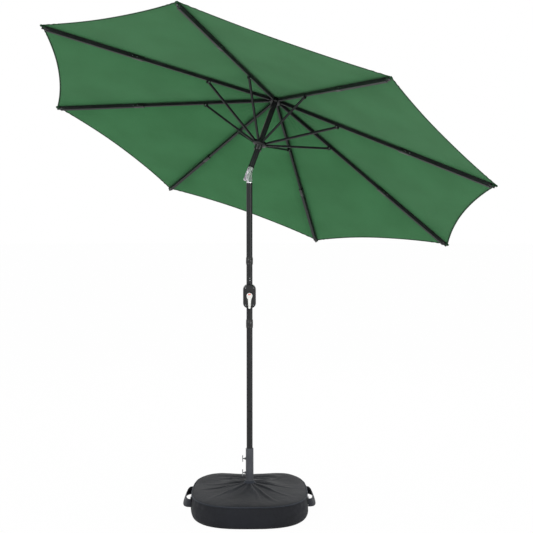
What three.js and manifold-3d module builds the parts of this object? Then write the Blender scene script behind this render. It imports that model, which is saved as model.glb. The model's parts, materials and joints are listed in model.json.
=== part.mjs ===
// A crank-lift patio umbrella with a push-button tilt, standing in a cross base under a ballast bag.
// Millimetres, +Z up. The origin is the centre of the base on the floor, the crank handle faces -Y, the
// sleeve's locking screws face -X, and the canopy tilts towards HEADING.

import * as THREE from 'three';
import { mergeVertices } from 'three/addons/utils/BufferGeometryUtils.js';
import Module from 'manifold-3d';

const wasm = await Module();
wasm.setup();

// ---------------------------------------------------------------- driving dimensions
const GAP = 0.3;                 // what touching pieces keep between them
const RUN = 0.5;                 // side clearance of a tang in its slot

// ballast bag and cross base
const BAG_HALF = 324;            // half the bag's width at its fullest
const BAG_EDGE = 118;            // height of the piped edge
const BAG_CROWN = 164;           // height where the bag meets the sleeve
const BAG_BELLY = 52;            // height where the bag is widest
const BAG_TUCK = 9;              // how far its piped edge lies in from there
const BAG_WALL = 3.5;
const BAG_SQUARE = 2.8;          // 2 is round, higher is squarer
const BAG_STRETCH = 1.15;        // how much deeper the bag is than wide
const SAND_TOP = 66;             // the ballast's level
const CROSS_WIDE = 40;
const CROSS_TALL = 20;
const HANDLE_SPAN = 275;         // along the bag's side
const HANDLE_REACH = 36;         // how far the loop stands off the bag
const HANDLE_WIDE = 50;          // the webbing's width
const HANDLE_THICK = 4;
const HANDLE_LEAN = 15;          // how far the loop's upper edge leans back to the bag
const HANDLE_HEIGHT = 85;        // the middle of the webbing above the floor

// pole
const POLE_R = 16.5;
const POLE_WALL = 1.5;
const SLEEVE_WALL = 4.4;
const SLEEVE_TOP = 354;
const JOINT_LOW = 560;           // where the lower pole section meets the middle one
const JOINT_HIGH = 1042;         // where the middle section meets the upper one
const COLLAR_TALL = 44;
const RING_MID = 1385;           // the trim ring above the crank
const RING_TALL = 38;
const COLLAR_WALL = 2.4;
const NECK_LENGTH = 70;          // a section's swaged neck inside the next one

// locking screws on the sleeve
const SCREW_HEIGHTS = { upper_screw: 296, lower_screw: 218 };
const SCREW_R = 3.2;
const SCREW_REACH = 38.5;        // from the pole's axis to the crossbar
const CROSSBAR_R = 2.6;
const CROSSBAR_LENGTH = 36;
const NUT_R = 7;
const NUT_LENGTH = 6;
const TIP_LENGTH = 2.4;

// crank
const HOUSING_Z = 1193.5;        // the middle of the crank's housing
const CRANK_Z = 1198.5;          // the crank's shaft
const HOUSING_WIDE = 70;
const HOUSING_TALL = 128;
const HOUSING_FRONT = 42;
const HOUSING_BACK = 30;
const HOUSING_WALL = 3;
const HOUSING_CORNER = 28;
const HOUSING_ROUND = 8;
const SHAFT_R = 4;
const DRUM_R = 6.5;
const REEL_R = 10;
const REEL_HALF = 9.5;
const LEVER_HEAD_R = 16;
const LEVER_END_R = 6.2;
const LEVER_LENGTH = 62;         // from the shaft to the knob's pin
const LEVER_THICK = 11;
const KNOB_R = 6.2;
const KNOB_LENGTH = 26;
const BRAKE_TURNS = 5;

// tilt
const PIVOT_Z = 1870;
const HEADING = 46.3;             // the way that the canopy tilts, from +X towards +Y
const TILT = 28;
const TONGUE_HALF = 7;
const CHEEK_DROP = 52;           // how far the cheeks reach below the pivot
const SOCKET_DROP = 61;          // how far the lower casting reaches below the pivot
const BRIDGE = 18;               // the underside of the fork's bridge
const PLUG_LENGTH = 40;
const PIN_R = 4;
const BUTTON_R = 5;
const BUTTON_DROP = 34;
const BUTTON_PROUD = 4;
const BUTTON_TRAVEL = 3;

// canopy frame, measured along and from the tilting tube
const TUBE_R = 15.5;
const TUBE_WALL = 1.75;
const RIBS = 8;
const HUB_Z = 445;               // height of the rib pins above the tilt pivot
const HUB_PIN_R = 24;            // their distance from the tube's axis
const HUB_R = 33;
const RUNNER_Z = 178;            // height of the strut pins above the tilt pivot
const RUNNER_PIN_R = 28;
const RUNNER_R = 37;
const RUNNER_FOOT = 134;
const TANG = 5;                  // thickness of the tangs that sit in the slots
const RING_WIRE = 1.5;
const RIB_DROOP = 12.2;          // degrees below the hub's plane
const RIB_REACH = 1321;          // from the axis to the fabric's corner
const RIB_WIDE = 11;
const RIB_TALL = 16;
const RIB_OUTER_WIDE = 15;
const RIB_OUTER_TALL = 20;
const RIB_START = 15;            // where the bar takes over from the tang
const RIB_WALL = 1.0;            // the ribs and struts are channels, open on top
const RIB_STEP = 776;            // along the rib, where the stouter outer section starts
const RIB_TIP = 30;              // how far short of the fabric's corner the bar stops
const BRACKET_AT = 384.7;        // along the rib, from its pin to the strut's pin
const BRACKET_DROP = 14;
const EAR_THICK = 2.5;
const STRUT_WIDE = 10;
const STRUT_TALL = 11;
const FABRIC = 1.5;
const FABRIC_RISE = 14;          // the fabric's underside above the rib's centre line
const HEM_SAG = 44;              // how far each hem curves in
const SEAM_GAP = 1;              // a gore stops this far from the seam at the crown
const SEAM_TAPER = 0.026;        // and this much more for each millimetre outwards
const CROWN_HOLE = 12;
const FINIAL_TALL = 58;
const PULLEY_DROP = 43;          // how far the crown pulley sits below the rib pins
const PULLEY_R = 9;
const CORD_R = 1.6;
const CORD_SIDE = 180;           // the side of the tube where the lift cord comes down

// ---------------------------------------------------------------- values worked out from those
const rad = THREE.MathUtils.degToRad;
const HALF_GORE = 180 / RIBS;
const poleBore = POLE_R - POLE_WALL;
const tubeBore = TUBE_R - TUBE_WALL;
const sleeveBore = POLE_R + GAP + 0.2;
const sleeveR = sleeveBore + SLEEVE_WALL;
const crossFoot = BAG_WALL + GAP;
const crossTop = crossFoot + CROSS_TALL;
const crossSpan = 2 * (BAG_HALF - 54);
const pulleyZ = HUB_Z - PULLEY_DROP;
const droop = rad(RIB_DROOP);
const ribLength = (RIB_REACH - HUB_PIN_R) / Math.cos(droop);
const castR = TUBE_R + 0.8;
const cheekHalf = Math.sqrt(castR ** 2 - (TONGUE_HALF + RUN) ** 2);

// ---------------------------------------------------------------- materials
const paint = (color, roughness, metalness) => (
  new THREE.MeshStandardMaterial({ color, roughness, metalness })
);
const finish = {
  blackSteel: () => paint(0x1c1d1f, 0.45, 0.6),
  blackPlastic: () => paint(0x141516, 0.5, 0),
  silver: () => paint(0xc4c6c8, 0.25, 1),
  zinc: () => paint(0x8f9498, 0.35, 1),
  whitePlastic: () => paint(0xeeeeec, 0.4, 0),
  greenFabric: () => paint(0x44744e, 0.9, 0),
  blackFabric: () => paint(0x23262c, 0.95, 0),
  greyCord: () => paint(0x7d7a77, 0.9, 0),
  sand: () => paint(0xb09a72, 1, 0),
};

// ---------------------------------------------------------------- shape helpers
const Z_UP = new THREE.Matrix4().makeRotationX(Math.PI / 2);

function solid(geometry) {
  const bare = geometry.clone();
  bare.deleteAttribute('normal');
  bare.deleteAttribute('uv');
  const merged = mergeVertices(bare, 1e-4);
  return new wasm.Manifold(new wasm.Mesh({
    numProp: 3,
    vertProperties: new Float32Array(merged.attributes.position.array),
    triVerts: new Uint32Array(merged.index.array),
  }));
}

function geometryOf(manifold) {
  const mesh = manifold.getMesh();
  const geometry = new THREE.BufferGeometry();
  geometry.setAttribute('position', new THREE.BufferAttribute(mesh.vertProperties, 3));
  geometry.setIndex(new THREE.BufferAttribute(mesh.triVerts, 1));
  return geometry;
}

const joined = (first, ...rest) => rest.reduce((sum, one) => sum.add(one), first);
const without = (first, ...rest) => rest.reduce((sum, one) => sum.subtract(one), first);

// A profile of [radius, height] points turned about Z. It runs up the outside.
function turned(profile, segments = 20) {
  const points = profile.map(([r, z]) => new THREE.Vector2(r, z));
  return new THREE.LatheGeometry(points, segments).applyMatrix4(Z_UP);
}

function ringTube(outer, inner, low, high, segments = 20) {
  return turned([[inner, low], [outer, low], [outer, high], [inner, high], [inner, low]], segments);
}

function bar(wide, deep, tall, x = 0, y = 0, z = 0) {
  return new THREE.BoxGeometry(wide, deep, tall).translate(x, y, z);
}

// A round bar along an axis, from one coordinate to another.
function rod(axis, radius, from, to, segments = 16) {
  const geometry = new THREE.CylinderGeometry(radius, radius, to - from, segments);
  if (axis === 'x') geometry.rotateZ(-Math.PI / 2).translate((from + to) / 2, 0, 0);
  if (axis === 'y') geometry.translate(0, (from + to) / 2, 0);
  if (axis === 'z') geometry.rotateX(Math.PI / 2).translate(0, 0, (from + to) / 2);
  return geometry;
}

// An outline in the XZ plane, extruded along Y about its middle.
function plate(outline, thick, curveSegments = 6) {
  const geometry = new THREE.ExtrudeGeometry(outline, { depth: thick, bevelEnabled: false, curveSegments });
  return geometry.rotateX(Math.PI / 2).translate(0, thick / 2, 0);
}

function sweep(points, radius, steps, sides = 6) {
  const section = new THREE.Shape();
  for (let i = 0; i < sides; i += 1) {
    const a = (i / sides) * 2 * Math.PI;
    const at = [radius * Math.cos(a), radius * Math.sin(a)];
    if (i === 0) section.moveTo(...at);
    else section.lineTo(...at);
  }
  const path = new THREE.CatmullRomCurve3(points.map((p) => new THREE.Vector3(...p)));
  return new THREE.ExtrudeGeometry(section, { steps, extrudePath: path, bevelEnabled: false });
}

function helix(radius, wire, low, high, turns, stepsPerTurn = 8) {
  const points = [];
  const count = turns * stepsPerTurn;
  for (let i = 0; i <= count; i += 1) {
    const a = (i / stepsPerTurn) * 2 * Math.PI;
    points.push([radius * Math.cos(a), radius * Math.sin(a), low + ((high - low) * i) / count]);
  }
  return sweep(points, wire, count, 5);
}

function roundedRect(wide, tall, corner) {
  const shape = new THREE.Shape();
  const w = wide / 2;
  const t = tall / 2;
  shape.moveTo(-w + corner, -t);
  shape.lineTo(w - corner, -t);
  shape.absarc(w - corner, -t + corner, corner, -Math.PI / 2, 0);
  shape.lineTo(w, t - corner);
  shape.absarc(w - corner, t - corner, corner, 0, Math.PI / 2);
  shape.lineTo(-w + corner, t);
  shape.absarc(-w + corner, t - corner, corner, Math.PI / 2, Math.PI);
  shape.lineTo(-w, -t + corner);
  shape.absarc(-w + corner, -t + corner, corner, Math.PI, 1.5 * Math.PI);
  return shape;
}

// Two circles joined by straight flanks: the head at the origin, the end below it.
function leverOutline(headR, endR, length) {
  const lean = Math.asin((headR - endR) / length);
  const shape = new THREE.Shape();
  shape.absarc(0, 0, headR, -lean, Math.PI + lean);
  shape.absarc(0, -length, endR, Math.PI + lean, 2 * Math.PI - lean);
  shape.closePath();
  return shape;
}

// Turns a round lathe into a soft square. What is inside the kept radius stays round.
function squaredRadius(angle) {
  const c = Math.abs(Math.cos(angle)) ** BAG_SQUARE;
  const s = Math.abs(Math.sin(angle)) ** BAG_SQUARE;
  return (c + s) ** (-1 / BAG_SQUARE);
}

function squared(geometry, kept) {
  const at = geometry.attributes.position;
  for (let i = 0; i < at.count; i += 1) {
    const r = Math.hypot(at.getX(i), at.getY(i));
    if (r > kept) {
      const k = squaredRadius(Math.atan2(at.getY(i), at.getX(i)));
      at.setXY(i, at.getX(i) * k, at.getY(i) * k * BAG_STRETCH);
    }
  }
  return geometry;
}

const object = new THREE.Group();

function place(parent, name, shape, material) {
  const geometry = shape.isBufferGeometry ? shape : geometryOf(shape);
  const mesh = new THREE.Mesh(geometry, material);
  mesh.name = name;
  parent.add(mesh);
  return mesh;
}

// ---------------------------------------------------------------- base
function makeBase() {
  const hole = sleeveR + 1.5;
  const wall = BAG_WALL;
  const skin = turned([
    [0, 0], [BAG_HALF - 34, 0], [BAG_HALF - 8, 14], [BAG_HALF, BAG_BELLY], [BAG_HALF - BAG_TUCK, BAG_EDGE],
    [BAG_HALF - 40, BAG_EDGE + 8], [hole + 70, BAG_CROWN - 12], [hole, BAG_CROWN],
    [hole, BAG_CROWN - wall], [hole + 70, BAG_CROWN - 12 - wall], [BAG_HALF - 41, BAG_EDGE + 8 - wall],
    [BAG_HALF - BAG_TUCK - wall, BAG_EDGE - wall], [BAG_HALF - wall, BAG_BELLY],
    [BAG_HALF - 9 - wall, 15 + wall],
    [BAG_HALF - 36, wall], [0, wall],
  ], 36);
  place(object, 'ballast_bag', squared(skin, hole + 1), finish.blackFabric());

  const arm = crossSpan;
  const middle = crossFoot + CROSS_TALL / 2;
  const cross = joined(
    solid(bar(arm, CROSS_WIDE, CROSS_TALL, 0, 0, middle)),
    solid(bar(CROSS_WIDE, arm, CROSS_TALL, 0, 0, middle)),
  );
  place(object, 'cross_base', cross, finish.blackSteel());

  const clear = wall + GAP;
  const fill = solid(squared(turned([
    [0, clear], [BAG_HALF - 38, clear], [BAG_HALF - 14 - clear, 22], [BAG_HALF - 2 - clear, BAG_BELLY],
    [BAG_HALF - 6 - clear, SAND_TOP], [0, SAND_TOP],
  ], 36), 1));
  const sand = without(
    fill,
    solid(bar(arm + 2 * GAP, CROSS_WIDE + 2 * GAP, 2 * CROSS_TALL, 0, 0, crossTop + GAP - CROSS_TALL)),
    solid(bar(CROSS_WIDE + 2 * GAP, arm + 2 * GAP, 2 * CROSS_TALL, 0, 0, crossTop + GAP - CROSS_TALL)),
    solid(rod('z', sleeveR + 1, 0, BAG_CROWN, 24)),
  );
  place(object, 'sand_ballast', sand, finish.sand());

  let sleeve = solid(ringTube(sleeveR, sleeveBore, crossTop + GAP, SLEEVE_TOP));
  for (const height of Object.values(SCREW_HEIGHTS)) {
    const nut = rod('x', NUT_R, -(sleeveR + NUT_LENGTH), -(sleeveBore + 1), 6).translate(0, 0, height);
    sleeve = sleeve.add(solid(nut));
  }
  for (const height of Object.values(SCREW_HEIGHTS)) {
    const thread = rod('x', SCREW_R + 0.4, -(sleeveR + NUT_LENGTH + 1), -(POLE_R - 4));
    sleeve = sleeve.subtract(solid(thread.translate(0, 0, height)));
  }
  place(object, 'base_sleeve', sleeve, finish.blackSteel());

  const rise = Math.max(0, HANDLE_HEIGHT - HANDLE_WIDE / 2 - BAG_BELLY);
  const bulge = BAG_HALF - (BAG_TUCK * rise) / (BAG_EDGE - BAG_BELLY);
  const bagSide = (y) => (bulge ** BAG_SQUARE - (y / BAG_STRETCH) ** BAG_SQUARE) ** (1 / BAG_SQUARE);
  const root = bagSide(HANDLE_SPAN / 2 - HANDLE_THICK) + GAP;
  for (const [name, side] of [['left_handle', -1], ['right_handle', 1]]) {
    const y = HANDLE_SPAN / 2;
    const out = BAG_HALF + HANDLE_REACH;
    const round = 30;
    const loop = new THREE.Shape();
    const t = HANDLE_THICK;
    loop.moveTo(root, -y);
    loop.lineTo(out - round, -y);
    loop.absarc(out - round, -y + round, round, -Math.PI / 2, 0);
    loop.lineTo(out, y - round);
    loop.absarc(out - round, y - round, round, 0, Math.PI / 2);
    loop.lineTo(root, y);
    loop.lineTo(root, y - t);
    loop.lineTo(out - round, y - t);
    loop.absarc(out - round, y - round, round - t, Math.PI / 2, 0, true);
    loop.lineTo(out - t, -y + round);
    loop.absarc(out - round, -y + round, round - t, 0, -Math.PI / 2, true);
    loop.lineTo(root, -y + t);
    loop.closePath();
    const drawn = { depth: HANDLE_WIDE, bevelEnabled: false, curveSegments: 4 };
    const webbing = new THREE.ExtrudeGeometry(loop, drawn);
    const at = webbing.attributes.position;
    for (let i = 0; i < at.count; i += 1) {
      const share = (at.getX(i) - root) / (out - root);
      at.setX(i, at.getX(i) - (share * HANDLE_LEAN * at.getZ(i)) / HANDLE_WIDE);
    }
    webbing.translate(0, 0, HANDLE_HEIGHT - HANDLE_WIDE / 2);
    if (side < 0) webbing.rotateZ(Math.PI);
    place(object, name, webbing, finish.blackFabric());
  }
}

// ---------------------------------------------------------------- locking screws
function makeScrews() {
  for (const [name, height] of Object.entries(SCREW_HEIGHTS)) {
    const tipFrom = -(POLE_R + GAP + TIP_LENGTH);
    const tip = rod('x', SCREW_R - 0.3, tipFrom, -(POLE_R + GAP)).translate(0, 0, height);
    place(object, `${name}_tip`, tip, finish.whitePlastic());
    const half = CROSSBAR_LENGTH / 2;
    const screw = joined(
      solid(rod('x', SCREW_R, -SCREW_REACH, tipFrom - GAP)),
      solid(rod('z', CROSSBAR_R, -half, half, 12).translate(-SCREW_REACH, 0, 0)),
    ).translate([0, 0, height]);
    place(object, name, screw, finish.zinc());
  }
}

// ---------------------------------------------------------------- pole
function poleSection(low, high, hasNeck) {
  const neckR = poleBore - GAP;
  const neckBore = neckR - POLE_WALL;
  const outside = hasNeck
    ? [[POLE_R, low], [POLE_R, high], [neckR, high + 1], [neckR, high + NECK_LENGTH]]
    : [[POLE_R, low], [POLE_R, high]];
  const inside = hasNeck
    ? [[neckBore, high + NECK_LENGTH], [neckBore, high - 4], [poleBore, high - 10], [poleBore, low]]
    : [[poleBore, high], [poleBore, low]];
  return turned([...outside, ...inside, outside[0]]);
}

function makePole() {
  const foot = crossTop + GAP;
  const socketFoot = PIVOT_Z - SOCKET_DROP;
  place(object, 'pole_lower', poleSection(foot, JOINT_LOW, true), finish.blackSteel());
  place(object, 'pole_middle', poleSection(JOINT_LOW + 1 + GAP, JOINT_HIGH, true), finish.blackSteel());
  const upper = without(
    solid(poleSection(JOINT_HIGH + 1 + GAP, socketFoot - GAP, false)),
    solid(rod('y', REEL_R + 1, -2 * POLE_R, 0, 20).translate(0, 0, CRANK_Z)),
    solid(rod('y', SHAFT_R + 0.6, 0, 2 * POLE_R).translate(0, 0, CRANK_Z)),
  );
  place(object, 'pole_upper', upper, finish.blackSteel());
  const rings = [['joint_collar', JOINT_HIGH, COLLAR_TALL], ['trim_ring', RING_MID, RING_TALL]];
  for (const [name, middle, tall] of rings) {
    const inner = POLE_R + GAP;
    const outer = inner + COLLAR_WALL;
    const low = middle - tall / 2;
    const high = middle + tall / 2;
    const collar = turned([
      [inner, low], [outer - 1, low], [outer, low + 2], [outer, high - 2], [outer - 1, high], [inner, high],
      [inner, low],
    ]);
    place(object, name, collar, finish.blackPlastic());
  }
}

// ---------------------------------------------------------------- crank
function makeCrank() {
  const wide = HOUSING_WIDE;
  const tall = HOUSING_TALL;
  const round = HOUSING_ROUND;
  const depth = HOUSING_FRONT + HOUSING_BACK;
  const shell = (inset) => {
    const bevel = round - inset / 2;
    const less = inset + bevel;
    const outline = roundedRect(wide - 2 * less, tall - 2 * less, HOUSING_CORNER - less);
    const block = new THREE.ExtrudeGeometry(outline, {
      depth: depth - 2 * less,
      bevelThickness: bevel,
      bevelSize: bevel,
      bevelSegments: 2,
      curveSegments: 3,
    });
    return solid(block.rotateX(Math.PI / 2).translate(0, HOUSING_BACK - less, HOUSING_Z));
  };
  const poleWay = solid(rod('z', POLE_R + 2 * GAP, HOUSING_Z - tall, HOUSING_Z + tall, 20));
  const whole = without(
    shell(0),
    shell(HOUSING_WALL),
    poleWay,
    solid(rod('y', SHAFT_R + 0.4, -HOUSING_FRONT - 5, 0).translate(0, 0, CRANK_Z)),
  );
  const half = (from, to) => {
    const slab = bar(2 * wide, to - from, 2 * tall, 0, (from + to) / 2, HOUSING_Z);
    return whole.intersect(solid(slab));
  };
  place(object, 'housing_front', half(-HOUSING_FRONT - 5, -GAP / 2), finish.blackPlastic());
  place(object, 'housing_back', half(GAP / 2, HOUSING_BACK + 5), finish.blackPlastic());

  const face = -HOUSING_FRONT - 1;
  const leverFront = face - LEVER_THICK;
  const shaftFront = leverFront + 3;
  const shaftBack = -(HOUSING_BACK - HOUSING_WALL - 4);
  const spool = turned([
    [0, shaftBack], [SHAFT_R, shaftBack], [SHAFT_R, -REEL_HALF], [REEL_R, -REEL_HALF],
    [REEL_R, -REEL_HALF + 1.5], [DRUM_R, -REEL_HALF + 1.5], [DRUM_R, REEL_HALF - 1.5],
    [REEL_R, REEL_HALF - 1.5], [REEL_R, REEL_HALF], [SHAFT_R, REEL_HALF], [SHAFT_R, -shaftFront],
    [0, -shaftFront],
  ], 20).rotateX(Math.PI / 2).translate(0, 0, CRANK_Z);
  place(object, 'crank_spool', spool, finish.zinc());

  const brake = helix(SHAFT_R + 3, 1, POLE_R + 3, HOUSING_FRONT - HOUSING_WALL - 2, BRAKE_TURNS);
  place(object, 'brake_spring', brake.rotateX(Math.PI / 2).translate(0, 0, CRANK_Z), finish.zinc());

  const lever = without(
    solid(plate(leverOutline(LEVER_HEAD_R, LEVER_END_R, LEVER_LENGTH), LEVER_THICK, 10)),
    solid(rod('y', SHAFT_R + GAP, -LEVER_THICK / 2 + 2.5, LEVER_THICK)),
    solid(rod('y', 3, -LEVER_THICK, LEVER_THICK).translate(0, 0, -LEVER_LENGTH)),
  ).translate([0, (face + leverFront) / 2, CRANK_Z]);
  place(object, 'crank_lever', lever, finish.whitePlastic());

  const knob = turned([
    [0, -LEVER_THICK + 2], [2.6, -LEVER_THICK + 2], [2.6, GAP], [KNOB_R - 1, GAP], [KNOB_R, 2],
    [KNOB_R - 0.8, KNOB_LENGTH / 2], [KNOB_R, KNOB_LENGTH - 3], [KNOB_R - 2.5, KNOB_LENGTH],
    [0, KNOB_LENGTH],
  ], 20).rotateX(Math.PI / 2).translate(0, leverFront, CRANK_Z - LEVER_LENGTH);
  place(object, 'crank_knob', knob, finish.whitePlastic());
}

// ---------------------------------------------------------------- tilt joint
function makeTiltSocket(heading) {
  const top = cheekHalf;
  const tongueFoot = -CHEEK_DROP - 2;
  const side = TONGUE_HALF;
  const round = solid(rod('z', castR, tongueFoot - 1, top + 1, 24));
  const outline = new THREE.Shape();
  outline.moveTo(cheekHalf, tongueFoot - 1);
  outline.lineTo(cheekHalf, 0);
  outline.absarc(0, 0, cheekHalf, 0, Math.PI);
  outline.lineTo(-cheekHalf, tongueFoot - 1);
  outline.closePath();
  const tongue = solid(plate(outline, 2 * side, 10)).intersect(round);
  const collar = solid(turned([
    [0, -SOCKET_DROP - PLUG_LENGTH], [poleBore - GAP, -SOCKET_DROP - PLUG_LENGTH],
    [poleBore - GAP, -SOCKET_DROP], [POLE_R, -SOCKET_DROP], [POLE_R, tongueFoot - 2],
    [castR - 0.6, tongueFoot], [0, tongueFoot],
  ]));
  const buttonWay = rod('x', BUTTON_R + GAP, -8, castR + 5).translate(0, 0, -BUTTON_DROP);
  const cordWay = rod('z', CORD_R + 1, -SOCKET_DROP - PLUG_LENGTH - 5, 2 * top, 12).translate(-11, 0, 0);
  const socket = without(
    collar.add(tongue),
    solid(rod('y', PIN_R + GAP, -castR - 5, castR + 5)),
    solid(buttonWay),
    solid(cordWay),
  );
  place(heading, 'tilt_socket', socket, finish.silver());
  const pin = rod('y', PIN_R, -castR + 1, castR - 1);
  place(heading, 'tilt_pin', pin, finish.zinc());

  const back = -BUTTON_TRAVEL + 4;
  const button = turned([
    [0, back], [BUTTON_R, back], [BUTTON_R, castR + BUTTON_PROUD - 1], [BUTTON_R - 1, castR + BUTTON_PROUD],
    [0, castR + BUTTON_PROUD],
  ], 16).rotateY(Math.PI / 2).translate(0, 0, -BUTTON_DROP);
  place(heading, 'tilt_button', button, finish.blackPlastic());
  const spring = helix(BUTTON_R - 1.4, 0.6, -8 + 1, back - 1, 3, 10);
  place(heading, 'button_spring', spring.rotateY(Math.PI / 2).translate(0, 0, -BUTTON_DROP), finish.zinc());
}

function makeTiltFork(tilt) {
  const cheekTop = BRIDGE + 4;
  const round = solid(rod('z', castR, -CHEEK_DROP - 1, cheekTop, 24));
  const outline = new THREE.Shape();
  const end = -CHEEK_DROP + cheekHalf;
  outline.moveTo(castR, cheekTop);
  outline.lineTo(-castR, cheekTop);
  outline.lineTo(-castR, end);
  outline.absarc(0, end, castR, Math.PI, 2 * Math.PI);
  outline.closePath();
  const sleeve = solid(plate(outline, 3 * castR, 8)).intersect(round);
  const plug = solid(rod('z', tubeBore - GAP, cheekTop - 2, cheekTop + PLUG_LENGTH, 24));
  const gapTall = CHEEK_DROP + 10 + BRIDGE;
  const fork = without(
    sleeve.add(plug),
    solid(bar(4 * castR, 2 * (TONGUE_HALF + RUN), gapTall, 0, 0, BRIDGE - gapTall / 2)),
    solid(rod('y', PIN_R + GAP, -castR - 5, castR + 5)),
    solid(rod('z', CORD_R + 1.2, 0, cheekTop + PLUG_LENGTH + 5, 12).translate(-8, 0, 0)),
  );
  place(tilt, 'tilt_fork', fork, finish.silver());
}

// ---------------------------------------------------------------- tube, hub, runner
function makeTubeAndHub(tilt) {
  const tubeTop = HUB_Z + 12;
  const start = BRIDGE + 4 + GAP;
  const side = rad(CORD_SIDE);
  const cordWindow = bar(2 * TUBE_R, 8, 44, TUBE_R, 0, pulleyZ + 2).rotateZ(side);
  const tube = without(
    solid(turned([
      [tubeBore, start], [TUBE_R, start], [TUBE_R, tubeTop], [tubeBore, tubeTop], [tubeBore, start],
    ])),
    solid(cordWindow),
  );
  place(tilt, 'tilt_tube', tube, finish.blackSteel());

  const ringHole = new THREE.TorusGeometry(HUB_PIN_R, RING_WIRE + GAP, 6, 24).translate(0, 0, HUB_Z);
  let hub = solid(turned([
    [TUBE_R + GAP, HUB_Z - 14], [HUB_R - 5, HUB_Z - 14], [HUB_R, HUB_Z - 9], [HUB_R, HUB_Z + 9],
    [HUB_R - 4, HUB_Z + 11], [TUBE_R + GAP, HUB_Z + 11], [TUBE_R + GAP, HUB_Z - 14],
  ], 32)).subtract(solid(ringHole));
  for (let i = 0; i < RIBS; i += 1) {
    const inner = HUB_PIN_R - 7;
    const slot = bar(HUB_R, TANG + 2 * RUN, 24, inner + HUB_R / 2, 0, HUB_Z - 4.5);
    hub = hub.subtract(solid(slot.rotateZ(rad(HALF_GORE * (2 * i + 1)))));
  }
  place(tilt, 'crown_hub', hub, finish.blackPlastic());
  const wire = new THREE.TorusGeometry(HUB_PIN_R, RING_WIRE, 6, 24).translate(0, 0, HUB_Z);
  place(tilt, 'hub_ring', wire, finish.zinc());

  const foot = tubeTop + 9;
  const finial = turned([
    [0, foot - 26], [tubeBore - GAP - 2, foot - 26], [tubeBore - GAP - 2, foot], [30, foot], [32, foot + 3],
    [26, foot + 6], [12, foot + 12], [10, foot + 22], [15, foot + 32], [16, foot + 40], [11, foot + 51],
    [0, foot + FINIAL_TALL - 2],
  ]);
  place(tilt, 'finial', finial, finish.blackPlastic());

  const pulley = turned([
    [0, -2.5], [PULLEY_R - 0.5, -2.5], [PULLEY_R - CORD_R - 1, 0], [PULLEY_R - 0.5, 2.5], [0, 2.5],
  ], 20).rotateX(Math.PI / 2).translate(PULLEY_R - 4, 0, pulleyZ).rotateZ(side);
  place(tilt, 'crown_pulley', pulley, finish.zinc());
}

function makeRunner(tilt) {
  const z = RUNNER_Z;
  const bore = TUBE_R + 0.7;
  const slotInner = RUNNER_PIN_R - 8;
  const ringHole = new THREE.TorusGeometry(RUNNER_PIN_R, RING_WIRE + GAP, 6, 24).translate(0, 0, z);
  let runner = solid(turned([
    [bore, RUNNER_FOOT], [bore + 4, RUNNER_FOOT], [bore + 5, RUNNER_FOOT + 4], [bore + 5, z - 18],
    [RUNNER_R - 5, z - 13], [RUNNER_R, z - 9], [RUNNER_R, z + 6], [RUNNER_R - 2, z + 8], [bore, z + 8],
    [bore, RUNNER_FOOT],
  ], 32)).subtract(solid(ringHole));
  for (let i = 0; i < RIBS; i += 1) {
    const slot = bar(RUNNER_R, TANG + 2 * RUN, 24, slotInner + RUNNER_R / 2, 0, z + 4);
    runner = runner.subtract(solid(slot.rotateZ(rad(HALF_GORE * (2 * i + 1)))));
  }
  place(tilt, 'runner', runner, finish.blackPlastic());
  const wire = new THREE.TorusGeometry(RUNNER_PIN_R, RING_WIRE, 6, 24).translate(0, 0, z);
  place(tilt, 'runner_ring', wire, finish.zinc());
}

// ---------------------------------------------------------------- ribs, struts, gores
function ribShape() {
  const end = ribLength - RIB_TIP;
  const eye = 6;
  const inner = solid(bar(RIB_STEP + 20 - RIB_START, RIB_WIDE, RIB_TALL, (RIB_START + RIB_STEP + 20) / 2));
  const outer = solid(bar(end - RIB_STEP, RIB_OUTER_WIDE, RIB_OUTER_TALL, (RIB_STEP + end) / 2));
  const cap = solid(rod('x', RIB_OUTER_WIDE / 2 - 1, end - 6, ribLength - 8, 10));
  const tang = joined(
    solid(bar(RIB_START + 4, TANG, 2 * eye - 1, (RIB_START + 4) / 2)),
    solid(rod('y', eye, -TANG / 2, TANG / 2, 12)),
  );
  const earTall = BRACKET_DROP + 6 + RIB_TALL / 2 - 4;
  const earOut = STRUT_WIDE / 2 + RUN + EAR_THICK / 2;
  const earMid = RIB_TALL / 2 - 4 - earTall / 2;
  const ear = (side) => solid(bar(20, EAR_THICK, earTall, BRACKET_AT, side * earOut, earMid));
  const channel = (from, to, wide, tall) => solid(bar(
    to - from, wide - 2 * RIB_WALL, tall, (from + to) / 2, 0, RIB_WALL,
  ));
  return without(
    joined(inner, outer, cap, tang, ear(-1), ear(1)),
    solid(rod('y', RING_WIRE + 0.6, -TANG, TANG, 8)),
    channel(RIB_START + 12, RIB_STEP - 4, RIB_WIDE, RIB_TALL),
    channel(RIB_STEP + 4, end - 10, RIB_OUTER_WIDE, RIB_OUTER_TALL),
  );
}

function strutShape(length) {
  const eye = 6.5;
  const body = solid(bar(length - 28, STRUT_WIDE, STRUT_TALL, -(length / 2) + 6));
  const upper = joined(
    solid(rod('y', STRUT_TALL / 2, -STRUT_WIDE / 2, STRUT_WIDE / 2, 12)),
    solid(bar(12, STRUT_WIDE, STRUT_TALL, -6)),
  );
  const lower = joined(
    solid(rod('y', eye, -TANG / 2, TANG / 2, 12).translate(-length, 0, 0)),
    solid(bar(26, TANG, 2 * eye - 2, -length + 13)),
  );
  return without(
    joined(body, upper, lower),
    solid(rod('y', RING_WIRE + 1.4, -TANG, TANG, 8).translate(-length, 0, 0)),
    solid(bar(length - 60, STRUT_WIDE - 2 * RIB_WALL, STRUT_TALL, -length / 2, 0, RIB_WALL)),
  );
}

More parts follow.
